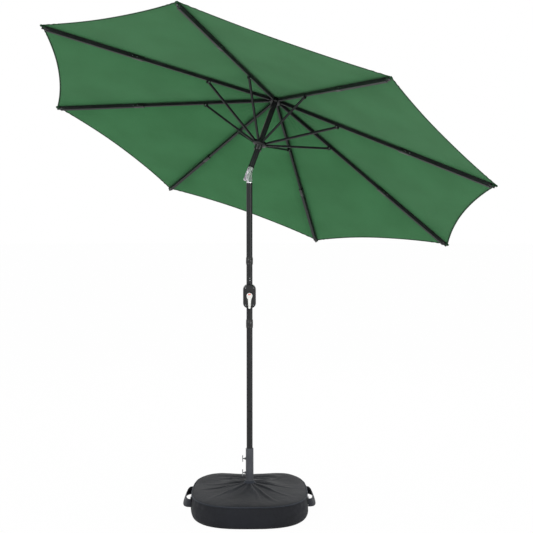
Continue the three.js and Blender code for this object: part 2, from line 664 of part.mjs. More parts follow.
function goreShape() {
  const half = Math.tan(rad(HALF_GORE));
  const edge = (x) => x * half - (SEAM_GAP + SEAM_TAPER * x);
  const cornerX = RIB_REACH * Math.cos(rad(HALF_GORE));
  const cornerY = RIB_REACH * Math.sin(rad(HALF_GORE));
  const hemX = cornerX - HEM_SAG;
  const outX = hemX + HEM_SAG * (edge(cornerX) / cornerY) ** 2;
  const outline = new THREE.Shape();
  outline.moveTo(CROWN_HOLE, -edge(CROWN_HOLE));
  outline.lineTo(outX, -edge(outX));
  outline.quadraticCurveTo(2 * hemX - outX, 0, outX, edge(outX));
  outline.lineTo(CROWN_HOLE, edge(CROWN_HOLE));
  outline.closePath();
  const slope = -Math.tan(droop) / Math.cos(rad(HALF_GORE));
  const rise = HUB_Z + HUB_PIN_R * Math.tan(droop) + FABRIC_RISE / Math.cos(droop);
  const lean = new THREE.Matrix4().set(1, 0, 0, 0, 0, 1, 0, 0, slope, 0, 1, rise, 0, 0, 0, 1);
  const drawn = { depth: FABRIC, bevelEnabled: false, curveSegments: 8 };
  return new THREE.ExtrudeGeometry(outline, drawn).applyMatrix4(lean);
}

function makeCanopyFrame(tilt) {
  const bracket = new THREE.Vector2(
    HUB_PIN_R + BRACKET_AT * Math.cos(droop) - BRACKET_DROP * Math.sin(droop),
    HUB_Z - BRACKET_AT * Math.sin(droop) - BRACKET_DROP * Math.cos(droop),
  );
  const reach = bracket.clone().sub(new THREE.Vector2(RUNNER_PIN_R, RUNNER_Z));
  const rib = ribShape();
  const strut = strutShape(reach.length());
  for (let i = 0; i < RIBS; i += 1) {
    const sector = new THREE.Group();
    sector.rotation.z = rad(HALF_GORE * (2 * i + 1));
    tilt.add(sector);
    const ribMesh = place(sector, `rib_${i + 1}`, rib, finish.blackSteel());
    ribMesh.position.set(HUB_PIN_R, 0, HUB_Z);
    ribMesh.rotation.y = droop;
    const strutMesh = place(sector, `strut_${i + 1}`, strut, finish.blackSteel());
    strutMesh.position.set(bracket.x, 0, bracket.y);
    strutMesh.rotation.y = -reach.angle();
    const panel = new THREE.Group();
    panel.rotation.z = rad(2 * HALF_GORE * (i + 1));
    tilt.add(panel);
    place(panel, `gore_${i + 1}`, goreShape(), finish.greenFabric());
  }
}

// ---------------------------------------------------------------- lift cord
function makeLiftCord(heading, tilt) {
  const start = -SOCKET_DROP - PLUG_LENGTH;
  const drum = CRANK_Z - PIVOT_Z;
  const from = DRUM_R + CORD_R + 0.6;
  const turn = rad(-HEADING);
  const drumSide = [from * Math.cos(turn), from * Math.sin(turn)];
  place(heading, 'lift_cord_lower', sweep([
    [...drumSide, drum], [...drumSide, drum + 30], [4, 0, drum + 120], [0, 0, (drum + start) / 2],
    [-6, 0, start - 80], [-11, 0, start - 20], [-11, 0, start + 30], [-11, 0, -20], [-11, 0, 0],
  ], CORD_R, 36), finish.greyCord());

  const side = rad(CORD_SIDE);
  const out = (r, z) => [r * Math.cos(side), r * Math.sin(side), z];
  const centre = PULLEY_R - 4;
  const wrap = PULLEY_R + 0.4;
  place(tilt, 'lift_cord_upper', sweep([
    [-8, 0, BRIDGE - 2], [-8, 0, BRIDGE + 20], [-8, 0, BRIDGE + 50], [-5, 0, 130], [-3.5, 1.5, 240],
    out(centre - wrap, pulleyZ - 60), out(centre - wrap, pulleyZ - 20), out(centre - wrap, pulleyZ),
  ], CORD_R, 28), finish.greyCord());

  const fall = TUBE_R + CORD_R + 1;
  place(tilt, 'lift_cord_drop', sweep([
    out(centre - wrap, pulleyZ + 1), out(centre - wrap * 0.7, pulleyZ + wrap * 0.72),
    out(centre, pulleyZ + wrap + 0.6), out(centre + wrap * 0.72, pulleyZ + wrap * 0.7),
    out(centre + wrap, pulleyZ - 1), out(fall, pulleyZ - 26), out(fall, pulleyZ - 60),
    out(fall, (pulleyZ + RUNNER_Z) / 2), out(fall, RUNNER_Z + 40), out(fall, RUNNER_Z + 8 + GAP),
  ], CORD_R, 30), finish.greyCord());
}

makeBase();
makeScrews();
makePole();
makeCrank();

const heading = new THREE.Group();
heading.position.z = PIVOT_Z;
heading.rotation.z = rad(HEADING);
object.add(heading);
makeTiltSocket(heading);

const tilt = new THREE.Group();
tilt.rotation.y = rad(TILT);
heading.add(tilt);
makeTiltFork(tilt);
makeTubeAndHub(tilt);
makeRunner(tilt);
makeCanopyFrame(tilt);
makeLiftCord(heading, tilt);

export default object;
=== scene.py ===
# %% [markdown]
# A crank-lift patio umbrella with a tilting canopy, standing in a ballast bag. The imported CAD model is
# loaded first, because every piece made here takes its place and its motion from it.

import json
import math

import bmesh
import bpy
from mathutils import Matrix, Vector, noise


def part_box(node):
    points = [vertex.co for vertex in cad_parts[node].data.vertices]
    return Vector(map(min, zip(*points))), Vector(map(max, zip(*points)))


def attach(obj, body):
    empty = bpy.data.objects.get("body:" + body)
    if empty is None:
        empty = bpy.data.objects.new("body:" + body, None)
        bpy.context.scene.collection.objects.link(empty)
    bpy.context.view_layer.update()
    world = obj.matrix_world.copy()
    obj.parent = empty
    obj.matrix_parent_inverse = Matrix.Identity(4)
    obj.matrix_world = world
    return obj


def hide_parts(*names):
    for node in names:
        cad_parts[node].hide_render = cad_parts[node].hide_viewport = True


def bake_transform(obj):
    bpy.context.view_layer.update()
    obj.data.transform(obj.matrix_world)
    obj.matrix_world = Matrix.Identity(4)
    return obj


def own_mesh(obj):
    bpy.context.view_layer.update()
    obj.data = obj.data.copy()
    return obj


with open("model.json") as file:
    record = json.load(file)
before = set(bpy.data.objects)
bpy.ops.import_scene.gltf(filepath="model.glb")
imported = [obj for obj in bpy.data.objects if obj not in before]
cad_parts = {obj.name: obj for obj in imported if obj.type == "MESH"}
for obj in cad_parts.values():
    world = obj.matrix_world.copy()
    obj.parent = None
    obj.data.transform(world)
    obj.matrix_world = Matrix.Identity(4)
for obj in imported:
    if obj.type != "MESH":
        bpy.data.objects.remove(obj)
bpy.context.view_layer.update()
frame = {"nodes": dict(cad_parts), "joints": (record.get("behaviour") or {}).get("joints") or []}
JOINTS = {joint["name"]: joint for joint in frame["joints"]}

# %% [markdown]
# The canopy leans over, so its pieces are easier to make upright and to lean afterwards. One matrix does
# it: its origin is the tilt pin, its Z runs up the tilting tube, and its X points the way the canopy
# leans. The joints of the record give all three, so the looks follow the CAD if it changes.

# %% The leaning tube's own axes
PIVOT = Vector(JOINTS["tilt"]["pos_m"])
UP = -Vector(JOINTS["runner_slide"]["axis"]).normalized()
ACROSS = Vector(JOINTS["tilt"]["axis"]).normalized()
MAST = Matrix.Translation(PIVOT) @ Matrix((ACROSS.cross(UP), ACROSS, UP)).transposed().to_4x4()
LEVEL = Vector((ACROSS.y, -ACROSS.x, 0)).normalized()
SOCKET = Matrix.Translation(PIVOT) @ Matrix((LEVEL, ACROSS, Vector((0, 0, 1)))).transposed().to_4x4()
RIBS = 8
HALF_GORE = math.pi / RIBS


def rib_turn(i):
    """The turn about the tube that brings +X over rib i, counted from 1."""
    return MAST @ Matrix.Rotation(HALF_GORE * (2 * i - 1), 4, "Z")


def gore_turn(i):
    return MAST @ Matrix.Rotation(HALF_GORE * 2 * i, 4, "Z")


to_mast = MAST.inverted()
rib_pin = to_mast @ Vector(JOINTS["rib_1_fold"]["pos_m"])
strut_pin = to_mast @ Vector(JOINTS["strut_1_swing"]["pos_m"])
HUB_PIN_R = math.hypot(rib_pin.x, rib_pin.y)
HUB_Z = rib_pin.z
STRUT_PIN_R = math.hypot(strut_pin.x, strut_pin.y)
STRUT_PIN_Z = strut_pin.z
print("hub", round(HUB_PIN_R, 4), round(HUB_Z, 4))
print("strut pin", round(STRUT_PIN_R, 4), round(STRUT_PIN_Z, 4))

# %% [markdown]
# The camera stands well back at about eye height, with a long lens, which keeps the pole straight. It is
# aimed by a pan and a pitch.

# %% Camera
CAMERA_AT = Vector((0, -6.261, 1.718))
CAMERA_PAN = math.radians(0.85)
CAMERA_PITCH = math.radians(3.32)
CAMERA_LENS = 77.67
camera_data = bpy.data.cameras.new("camera")
camera_data.sensor_width = 36
camera_data.lens = CAMERA_LENS
camera = bpy.data.objects.new("camera", camera_data)
camera.location = CAMERA_AT
camera.rotation_euler = (math.pi / 2 - CAMERA_PITCH, 0, -CAMERA_PAN)
bpy.context.scene.collection.objects.link(camera)
bpy.context.scene.camera = camera

# %% [markdown]
# Shader maths reads best as a formula. A small class holds one output socket and turns each Python
# operator into a Math node; its reflected forms let a number stand on the left. Every other node comes
# from one method, which sets the node's own settings before it fills its sockets.

# %% Shader maths
class Wire:
    """One output socket of a material, which can be added, multiplied and so on."""

    def __init__(self, paint, socket):
        self.paint = paint
        self.socket = socket

    def __add__(self, other):
        return self.paint.maths("ADD", self, other)

    def __radd__(self, other):
        return self.paint.maths("ADD", other, self)

    def __sub__(self, other):
        return self.paint.maths("SUBTRACT", self, other)

    def __rsub__(self, other):
        return self.paint.maths("SUBTRACT", other, self)

    def __mul__(self, other):
        return self.paint.maths("MULTIPLY", self, other)

    def __rmul__(self, other):
        return self.paint.maths("MULTIPLY", other, self)


class Nodes:
    """A node tree, of a material or of the sky, and the one method that adds to it."""

    def __init__(self, tree):
        self.tree = tree

    def node(self, kind, settings=None, sockets=None, output=0):
        """Adds one node: settings are its own properties, sockets its inputs by name or number."""
        made = self.tree.nodes.new(kind)
        for label, value in (settings or {}).items():
            setattr(made, label, value)
        for label, value in (sockets or {}).items():
            if isinstance(value, Wire):
                self.tree.links.new(value.socket, made.inputs[label])
            else:
                made.inputs[label].default_value = value
        return Wire(self, made.outputs[output])

    def maths(self, operation, *values):
        return self.node("ShaderNodeMath", {"operation": operation}, dict(enumerate(values)))

    def send_out(self, a, b, share, output):
        """Sends out shader a where share is 0 and shader b where it is 1."""
        mixed = self.node("ShaderNodeMixShader", None, {0: share, 1: a, 2: b})
        self.tree.links.new(mixed.socket, self.tree.nodes[output].inputs["Surface"])


class Paint(Nodes):
    """A material and the nodes that feed its Principled shader."""

    def __init__(self, name, **fixed):
        self.material = bpy.data.materials.new(name)
        self.material.use_nodes = True
        super().__init__(self.material.node_tree)
        self.shader = self.tree.nodes["Principled BSDF"]
        for label, value in fixed.items():
            self.shader.inputs[label.replace("_", " ")].default_value = value

    def place(self):
        return self.node("ShaderNodeTexCoord", output="Object")

    def cloth(self):
        return self.node("ShaderNodeTexCoord", output="UV")

    def noise(self, where, scale, detail=3.0, rough=0.5):
        sockets = {"Vector": where, "Scale": scale, "Detail": detail, "Roughness": rough}
        return self.node("ShaderNodeTexNoise", None, sockets)

    def ramp(self, value, low, high):
        """Value from low to high becomes 0 to 1, with no step at either end."""
        sockets = {"Value": value, "From Min": low, "From Max": high}
        return self.node("ShaderNodeMapRange", {"interpolation_type": "SMOOTHSTEP"}, sockets)

    def mix(self, share, a, b):
        """Colour a where share is 0 and colour b where it is 1."""
        return self.node("ShaderNodeMix", {"data_type": "RGBA"}, {0: share, 6: a, 7: b}, output=2)

    def feed(self, **links):
        for label, value in links.items():
            self.tree.links.new(value.socket, self.shader.inputs[label.replace("_", " ")])
        return self.material

    def bump(self, height, strength, distance):
        sockets = {"Height": height, "Strength": strength, "Distance": distance}
        return self.node("ShaderNodeBump", None, sockets)


def shade(*rgb):
    """A colour as a paint chart gives it, 0 to 255, as the linear numbers that shaders take."""
    linear = [((c / 255 + 0.055) / 1.055) ** 2.4 if c > 10 else c / 255 / 12.92 for c in rgb]
    return (*linear, 1.0)


# %% [markdown]
# Powder coat is a baked powder: it dries to a fine orange peel, with duller and shinier patches where
# hands and sleeves rub it. The same recipe makes the black frame and the charcoal base sleeve.

# %% Painted, moulded and plated finishes
def powder_coat(name, color, worn, rough):
    paint = Paint(name, Metallic=0.0, Specular_IOR_Level=0.3)
    where = paint.place()
    patch = paint.noise(where, 14.0, 4.0)
    peel = paint.noise(where, 900.0, 2.0)
    tone = paint.mix(paint.ramp(patch, 0.35, 0.75), color, worn)
    return paint.feed(
        Base_Color=tone,
        Roughness=rough + (patch - 0.5) * 0.16,
        Normal=paint.bump(peel, 0.25, 0.0003),
    )


def moulded(name, color, worn, rough, grain=1500.0):
    paint = Paint(name)
    where = paint.place()
    patch = paint.noise(where, 25.0, 3.0)
    pits = paint.noise(where, grain, 2.0, 0.7)
    tone = paint.mix(paint.ramp(patch, 0.3, 0.8), color, worn)
    return paint.feed(
        Base_Color=tone,
        Roughness=rough + (pits - 0.5) * 0.2,
        Normal=paint.bump(pits, 0.2, 0.0002),
    )


def metal(name, color, dull, rough, stretch, metallic=1.0, lines=0.12):
    """Bare or plated metal with fine lines along Z, because tubes and castings are polished that way."""
    paint = Paint(name, Metallic=metallic)
    where = paint.node("ShaderNodeMapping", {"vector_type": "POINT"}, {0: paint.place(), 3: stretch})
    line = paint.noise(where, 300.0, 3.0)
    stain = paint.noise(paint.place(), 40.0, 4.0)
    tone = paint.mix(paint.ramp(stain, 0.4, 0.8), color, dull)
    return paint.feed(
        Base_Color=tone,
        Roughness=rough + (line - 0.5) * 0.15 + (stain - 0.5) * 0.1,
        Normal=paint.bump(line, lines, 0.0002),
    )


BLACK_STEEL = powder_coat("black_powder_coat", shade(21, 22, 24), shade(29, 30, 32), 0.45)
CHARCOAL_STEEL = powder_coat("charcoal_powder_coat", shade(68, 70, 75), shade(80, 82, 87), 0.42)
BLACK_PLASTIC = moulded("black_moulding", shade(10, 10, 12), shade(16, 16, 18), 0.34)
WHITE_PLASTIC = moulded("white_moulding", shade(232, 232, 230), shade(222, 221, 217), 0.35)
RED_PLASTIC = moulded("coral_moulding", shade(238, 128, 118), shade(228, 116, 108), 0.4)
PLATED = metal("zinc_plate", shade(150, 153, 156), shade(120, 121, 120), 0.32, (1, 1, 1))
CASTING = metal(
    "polished_casting", shade(222, 219, 224), shade(204, 201, 207), 0.28, (1, 1, 0.1), 0.8, 0.02,
)

# %% [markdown]
# Cloth is made of yarns that cross. Its pieces carry a UV map measured in metres, so the weave has its
# real scale wherever the cloth turns: two sets of rounded ridges, each showing where the other dips.

# %% Woven finishes
def woven(name, color, faded, yarn, rough=0.85, depth=0.0003, sheen=0.15, **fixed):
    paint = Paint(name, Sheen_Weight=sheen, Sheen_Roughness=0.5, Specular_IOR_Level=0.25, **fixed)
    u = paint.node("ShaderNodeSeparateXYZ", None, {0: paint.cloth()}, output=0)
    v = paint.node("ShaderNodeSeparateXYZ", None, {0: paint.cloth()}, output=1)
    turns = 2 * math.pi / yarn
    warp = paint.maths("SINE", u * turns)
    weft = paint.maths("SINE", v * turns)
    height = (warp * weft + 1) * 0.5
    slub = paint.noise(paint.cloth(), 90.0, 4.0)
    cloud = paint.noise(paint.cloth(), 3.5, 4.0)
    tone = paint.mix(paint.ramp(cloud * 0.7 + slub * 0.3, 0.35, 0.65), color, faded)
    return paint.feed(
        Base_Color=tone,
        Roughness=rough + (slub - 0.5) * 0.12,
        Normal=paint.bump(height + slub * 0.6, 0.35, depth),
    )


GREEN_CANOPY = woven("green_canopy_cloth", shade(49, 108, 63), shade(55, 116, 70), 0.0016, sheen=0.05)
GREEN_BINDING = woven("dark_green_binding", shade(16, 52, 27), shade(22, 60, 34), 0.0012, sheen=0.04)
GREEN_SEAM = woven("green_seam_cloth", shade(38, 84, 49), shade(45, 93, 56), 0.0016, sheen=0.05)
BAG_CLOTH = woven("slate_bag_cloth", shade(19, 20, 25), shade(26, 28, 34), 0.0014, 0.8, 0.0003, 0.04)
# The piping's cloth is painted lighter than the bag's: a painted highlight along the bag's top edge.
PIPING_PAINTED_HIGHLIGHT = woven("piping_cloth_painted_highlight", shade(36, 40, 47), shade(46, 50, 58), 0.0012, sheen=0.05)
WEBBING = woven("black_webbing", shade(36, 38, 44), shade(46, 48, 54), 0.0026, 0.7, 0.0008, 0.06)
GREY_CORD = woven("grey_braided_cord", shade(120, 117, 113), shade(104, 101, 98), 0.0018, 0.8, 0.0005)
SAND = moulded("loose_sand", shade(190, 168, 128), shade(150, 128, 92), 0.9, 600.0)

# %% [markdown]
# Most hard pieces begin as one of three moves: a profile spun about an axis, a closed outline lofted
# through several rings, or a plain block with its edges rounded. Each helper leaves a bmesh, and one
# function turns a bmesh into a finished object that rides on its body.

# %% Making and finishing pieces
def spun(profile, steps=64):
    """A closed solid of revolution about Z from [radius, height] points, from foot to top."""
    bm = bmesh.new()
    ring = [bm.verts.new((r, 0, z)) for r, z in profile]
    edges = [bm.edges.new(pair) for pair in zip(ring, ring[1:])]
    bmesh.ops.spin(
        bm, geom=ring + edges, cent=(0, 0, 0), axis=(0, 0, 1), angle=2 * math.pi, steps=steps,
        use_merge=True,
    )
    bmesh.ops.remove_doubles(bm, verts=bm.verts, dist=1e-6)
    bmesh.ops.recalc_face_normals(bm, faces=bm.faces)
    return bm


def rounded_outline(wide, tall, corner, count=96):
    """Points of a rounded rectangle in XZ, evenly turned so that rings of it can be bridged."""
    points = []
    for k in range(count):
        a = 2 * math.pi * (k + 0.5) / count
        c, s = math.cos(a), math.sin(a)
        x = math.copysign(wide / 2 - corner, c) + corner * c
        z = math.copysign(tall / 2 - corner, s) + corner * s
        points.append((x, z))
    return points


def lofted(rings):
    """A closed solid through rings, each a list of 3D points with the same count."""
    # each face is made here, because the lever's waisted outline lost its end face when it was bridged
    bm = bmesh.new()
    loops = [[bm.verts.new(at) for at in points] for points in rings]
    for a, b in zip(loops, loops[1:]):
        for k in range(len(a)):
            bm.faces.new((a[k - 1], a[k], b[k], b[k - 1]))
    for ends in (loops[0], loops[-1]):
        bm.faces.new(ends)
    bmesh.ops.recalc_face_normals(bm, faces=bm.faces)
    return bm


def block(size, at=(0, 0, 0), edge=0.0, segments=2):
    bm = bmesh.new()
    bmesh.ops.create_cube(bm, size=1)
    bmesh.ops.scale(bm, vec=size, verts=bm.verts)
    bmesh.ops.translate(bm, vec=at, verts=bm.verts)
    if edge:
        rounded(bm, edge, segments)
    return bm


def rounded(bm, edge, segments=2, angle=0.6):
    sharp = [e for e in bm.edges if len(e.link_faces) == 2 and e.calc_face_angle() > angle]
    bmesh.ops.bevel(
        bm, geom=sharp, offset=edge, segments=segments, profile=0.5, affect="EDGES", material=-1,
        clamp_overlap=True,
    )
    return bm


def merged(*parts):
    """Several bmeshes as one; the first is kept and the others are used up."""
    whole = parts[0]
    for part in parts[1:]:
        spare = bpy.data.meshes.new("spare")
        part.to_mesh(spare)
        part.free()
        whole.from_mesh(spare)
        bpy.data.meshes.remove(spare)
    return whole


def moved(bm, matrix):
    bmesh.ops.transform(bm, matrix=matrix, verts=bm.verts)
    return bm


def along(axis, at=(0, 0, 0)):
    """The matrix that turns +Z to an axis and moves the origin to a point."""
    turn = Vector(axis).to_track_quat("Z", "Y").to_matrix().to_4x4()
    return Matrix.Translation(at) @ turn


def piece(name, bm, material, body, stands_for=(), matrix=None, smooth=35):
    if matrix is not None:
        moved(bm, matrix)
    mesh = bpy.data.meshes.new(name)
    bm.to_mesh(mesh)
    bm.free()
    mesh.materials.append(material)
    for face in mesh.polygons:
        face.use_smooth = True
    mesh.set_sharp_from_angle(angle=math.radians(smooth))
    made = bpy.data.objects.new(name, mesh)
    bpy.context.scene.collection.objects.link(made)
    if body:
        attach(made, body)
    if stands_for:
        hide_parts(*stands_for)
    return made


def refined(node, material, body, edge=0.0006, segments=2, smooth=35):
    """A CAD node's own shape with its triangles joined, its edges eased and its curves shaded round."""
    bm = bmesh.new()
    bm.from_mesh(frame["nodes"][node].data)
    bmesh.ops.remove_doubles(bm, verts=bm.verts, dist=1e-5)
    bmesh.ops.dissolve_limit(bm, angle_limit=0.01, verts=bm.verts, edges=bm.edges)
    made = piece(f"{node}_shape", bm, material, body, [node], smooth=smooth)
    if edge:
        bevel = made.modifiers.new("eased_edges", "BEVEL")
        bevel.width = edge
        bevel.segments = segments
        bevel.limit_method = "ANGLE"
        bevel.angle_limit = math.radians(35)
        bevel.harden_normals = False
    return made


# %% [markdown]
# The ballast bag is a squarish sack of sand. Its sides bulge, a piped seam runs round its top edge, and
# the top cloth is drawn up to the sleeve, so folds run out from it. A grid wrapped round and then
# pushed about point by point gives a skin with even faces, which takes folds better than a spun one.

# %% Ballast bag
BAG_HALF = 0.324
BAG_SIDE_R = 0.3225
BAG_SQUARE = 2.8
BAG_STRETCH = 1.15


def square_reach(angle, power=BAG_SQUARE):
    """How much further a soft square reaches than a circle, at this angle."""
    return (abs(math.cos(angle)) ** power + abs(math.sin(angle)) ** power) ** (-1 / power)


BAG_PROFILE = [
    (0.0, 0.0), (0.150, 0.0), (0.284, 0.0003), (0.309, 0.0045), (0.3195, 0.020), (0.3232, 0.045),
    (0.3225, 0.072), (0.3185, 0.098), (0.3125, 0.1180), (0.2975, 0.1250), (0.262, 0.1310), (0.215, 0.1365),
    (0.165, 0.1420), (0.115, 0.1485), (0.072, 0.1550), (0.044, 0.1600), (0.0262, 0.1640), (0.0228, 0.1650),
]


def along_profile(share):
    """The bag's section, smoothed through its points: share 0 is under the middle, 1 is at the sleeve."""
    at = share * (len(BAG_PROFILE) - 1)
    k = min(int(at), len(BAG_PROFILE) - 2)
    t = at - k
    p = [Vector(BAG_PROFILE[max(0, min(len(BAG_PROFILE) - 1, k + d))]) for d in (-1, 0, 1, 2)]
    return 0.5 * (
        2 * p[1] + (p[2] - p[0]) * t + (2 * p[0] - 5 * p[1] + 4 * p[2] - p[3]) * t * t
        + (3 * p[1] - p[0] - 3 * p[2] + p[3]) * t ** 3
    )


def hump(x, middle, width):
    """1 at the middle, falling smoothly to 0 a width away."""
    t = min(1.0, abs(x - middle) / width)
    return (1 - t * t) ** 2


def turn_between(a, b):
    return abs((a - b + math.pi) % (2 * math.pi) - math.pi)


FOLD_AT = [(k + 0.35 * math.sin(5.1 * k)) * 2 * math.pi / 13 for k in range(13)]


def bag_point(angle, share):
    r, z = along_profile(share)
    top = max(0.0, min(1.0, (share - 0.47) / 0.08))
    side = hump(share, 0.36, 0.17)
    power = BAG_SQUARE + 0.9 * max(0.0, math.sin(angle)) * hump(share, 0.52, 0.20)
    square = 1 + (square_reach(angle, power) - 1) * min(1.0, r / 0.10)
    deep = 1 + (BAG_STRETCH - 1) * min(1.0, r / 0.10)
    x, y = r * square * math.cos(angle), r * square * deep * math.sin(angle)
    out = Vector((math.cos(angle), math.sin(angle), 0))
    # the sand settles, so the top dips between the edge and the sleeve, more at the back
    z -= top * 0.006 * hump(r, 0.20, 0.11) * (1 + 0.4 * math.sin(angle))
    # the sand is heaped into the back corners, where the cloth stands up in two blunt shoulders
    heap = sum(hump(turn_between(angle, math.radians(corner)), 0, 0.62) for corner in (128, 52))
    z += heap * hump(share, 0.545, 0.16) * 0.013
    # folds drawn towards the sleeve
    for k, fold in enumerate(FOLD_AT):
        near = hump(turn_between(angle, fold + 0.10 * math.sin(9 * r + k)), 0, 0.16)
        z += top * near * (0.0058 + 0.0018 * math.sin(3.3 * k)) * hump(r, 0.085, 0.085)
        long = hump(turn_between(angle, fold + 0.05 * math.sin(11 * r + 2 * k)), 0, 0.07)
        z += top * long * (0.0036 + 0.0022 * math.sin(4.7 * k)) * hump(r, 0.17, 0.12)
    # slack cloth behind the sleeve lies in waves
    behind = hump(turn_between(angle, math.pi / 2), 0, 0.95)
    z += top * behind * hump(r, 0.205, 0.085) * 0.0085 * math.sin(r * 120 + 3 * math.sin(4 * angle))
    lump = noise.noise(Vector((x * 9, y * 9, z * 9 + 3.0)))
    fine = noise.noise(Vector((x * 34, y * 34, z * 34 + 8.0)))
    z += top * (0.0022 * lump + 0.0008 * fine)
    # the side panels pucker below the seam and bulge over the floor
    pucker = math.sin(angle * 46 + 2 * math.sin(angle * 7)) * 0.0011 * hump(share, 0.44, 0.07)
    slack = math.sin(angle * 9 + 26 * z + 2 * math.sin(3 * angle)) * 0.0016
    flat = out * side * (0.0045 * lump + 0.0016 * fine + slack) + out * pucker
    corner = hump(turn_between(angle % (math.pi / 2), math.pi / 4), 0, 0.22)
    flat -= out * side * corner * 0.0045 * (1 + math.sin(z * 170)) * 0.6
    return Vector((x, y, max(z, 0.0))) + flat


def wrapped(nu, nv, point, cloth, closed=True):
    """A grid bent by point(u, v), with a UV map in metres from cloth(u, v); u goes round."""
    bm = bmesh.new()
    bmesh.ops.create_grid(bm, x_segments=nu, y_segments=nv, size=0.5)
    uv = bm.loops.layers.uv.new("cloth")
    for face in bm.faces:
        for loop in face.loops:
            loop[uv].uv = cloth(loop.vert.co.x + 0.5, loop.vert.co.y + 0.5)
    for vert in bm.verts:
        vert.co = point(vert.co.x + 0.5, vert.co.y + 0.5)
    if closed:
        bmesh.ops.remove_doubles(bm, verts=bm.verts, dist=1e-6)
    bmesh.ops.recalc_face_normals(bm, faces=bm.faces)
    return bm


def bag_cloth(u, v):
    return (u * 8 * BAG_HALF, v * 0.85)


bag = piece(
    "ballast_bag_cloth",
    wrapped(256, 110, lambda u, v: bag_point(2 * math.pi * u, v), bag_cloth),
    BAG_CLOTH, "base", ["ballast_bag"],
)
print("bag", len(bag.data.polygons), "faces")

# %% [markdown]
# Piping is a cord sewn into a folded strip. A curve with a round bevel follows the seam, is turned into
# a mesh, and keeps the curve's own lengthwise map for its weave.

# %% Piping and cords from curves
def tube_along(name, points, radius, material, body, closed=False, stands_for=(), matrix=None):
    curve = bpy.data.curves.new(name, "CURVE")
    curve.dimensions = "3D"
    curve.bevel_depth = radius
    curve.bevel_resolution = 3
    curve.resolution_u = 6
    curve.use_fill_caps = not closed
    spline = curve.splines.new("BEZIER")
    spline.bezier_points.add(len(points) - 1)
    for knot, at in zip(spline.bezier_points, points):
        knot.co = (matrix @ Vector(at)) if matrix is not None else at
        knot.handle_left_type = knot.handle_right_type = "AUTO"
    spline.use_cyclic_u = closed
    drawn = bpy.data.objects.new(name + "_line", curve)
    bpy.context.scene.collection.objects.link(drawn)
    mesh = bpy.data.meshes.new_from_object(drawn.evaluated_get(bpy.context.evaluated_depsgraph_get()))
    bpy.data.objects.remove(drawn)
    bm = bmesh.new()
    bm.from_mesh(mesh)
    bpy.data.meshes.remove(mesh)
    bmesh.ops.remove_doubles(bm, verts=bm.verts, dist=1e-7)
    uv = bm.loops.layers.uv.active or bm.loops.layers.uv.new("cloth")
    length = sum((Vector(b) - Vector(a)).length for a, b in zip(points, points[1:]))
    for face in bm.faces:
        for loop in face.loops:
            u, v = loop[uv].uv
            loop[uv].uv = (u * length, v * 2 * math.pi * radius)
    return piece(name, bm, material, body, stands_for)


def bag_seam(share, lift):
    turns = [2 * math.pi * k / 96 for k in range(96)]
    return [bag_point(a, share) + Vector((math.cos(a), math.sin(a), 0.35)) * lift for a in turns]


SEAM_SHARE = 8 / 17
# the piping takes the lighter cloth, a painted highlight along the top edge
tube_along("bag_piping", bag_seam(SEAM_SHARE, 0.0020), 0.0038, PIPING_PAINTED_HIGHLIGHT, "base", closed=True)

# %% [markdown]
# Webbing is a flat ribbed strap. It is bent as a strip: its middle line goes out from the bag's side,
# round two corners and back, and the strip sags a little under its own weight. The ends are sewn down.

# %% Handles
HANDLE_Z = 0.085
HANDLE_WIDE = 0.044
HANDLE_OUT = 0.354
HANDLE_LEAN = 0.017
HANDLE_Y = 0.1355
HANDLE_ROOT = 0.316
STRAP_LENGTH = 0.46
SEWN_LENGTH = 0.050


def strap_line(t):
    """The strap's middle line in plan, t from 0 to 1, from its front root round to its back one."""
    a = math.pi * (t - 0.5)
    c, sway = max(math.cos(a), 1e-9), math.sin(a)
    x = HANDLE_ROOT + (HANDLE_OUT - HANDLE_ROOT) * c ** 0.66
    y = math.copysign(HANDLE_Y * abs(sway) ** 0.80, sway)
    sag = -0.004 * math.cos(a) ** 2
    n = Vector((c * HANDLE_Y, sway * (HANDLE_OUT - HANDLE_ROOT), 0)).normalized()
    return Vector((x, y, sag)), n


def strap(side):
    def point(u, v):
        at, n = strap_line(u)
        crown = 0.0012 * (1 - (2 * v - 1) ** 2)
        lean = HANDLE_LEAN * (v - 0.5) * (at.x - HANDLE_ROOT) / (HANDLE_OUT - HANDLE_ROOT)
        p = at + n * crown + Vector((-lean, 0, HANDLE_Z + (v - 0.5) * HANDLE_WIDE))
        return Vector((p.x * side, p.y, p.z))

    bm = wrapped(140, 10, point, lambda u, v: (u * STRAP_LENGTH, v * HANDLE_WIDE), closed=False)
    bmesh.ops.solidify(bm, geom=bm.faces, thickness=0.0024)
    return bm


for name, side in (("left_handle", -1), ("right_handle", 1)):
    piece(f"{name}_strap", strap(side), WEBBING, "base", [name])
    patches = []
    for end in (-1, 1):
        def patch_point(u, v, end=end, side=side):
            y = end * (HANDLE_Y - 0.004 - SEWN_LENGTH * u)
            z = HANDLE_Z + (v - 0.5) * HANDLE_WIDE
            round_to = 1 - (abs(y) / BAG_STRETCH / BAG_SIDE_R) ** BAG_SQUARE
            x = BAG_SIDE_R * round_to ** (1 / BAG_SQUARE) + 0.0022
            return Vector((side * x, y, z))

        patch = wrapped(16, 8, patch_point, lambda u, v: (u * SEWN_LENGTH, v * HANDLE_WIDE), closed=False)
        bmesh.ops.solidify(patch, geom=patch.faces, thickness=0.0022)
        patches.append(patch)
    piece(f"{name}_sewn_ends", merged(*patches), WEBBING, "base")

# %% [markdown]
# The sleeve, the pole's sections and their trim are turned shapes, so each is one spun profile. The steps
# and swages in the profiles are what tells a tube that slides into another from a plain stick.

# %% Sleeve and pole
POLE_R = 0.0165
CROSS_TOP = 0.0238

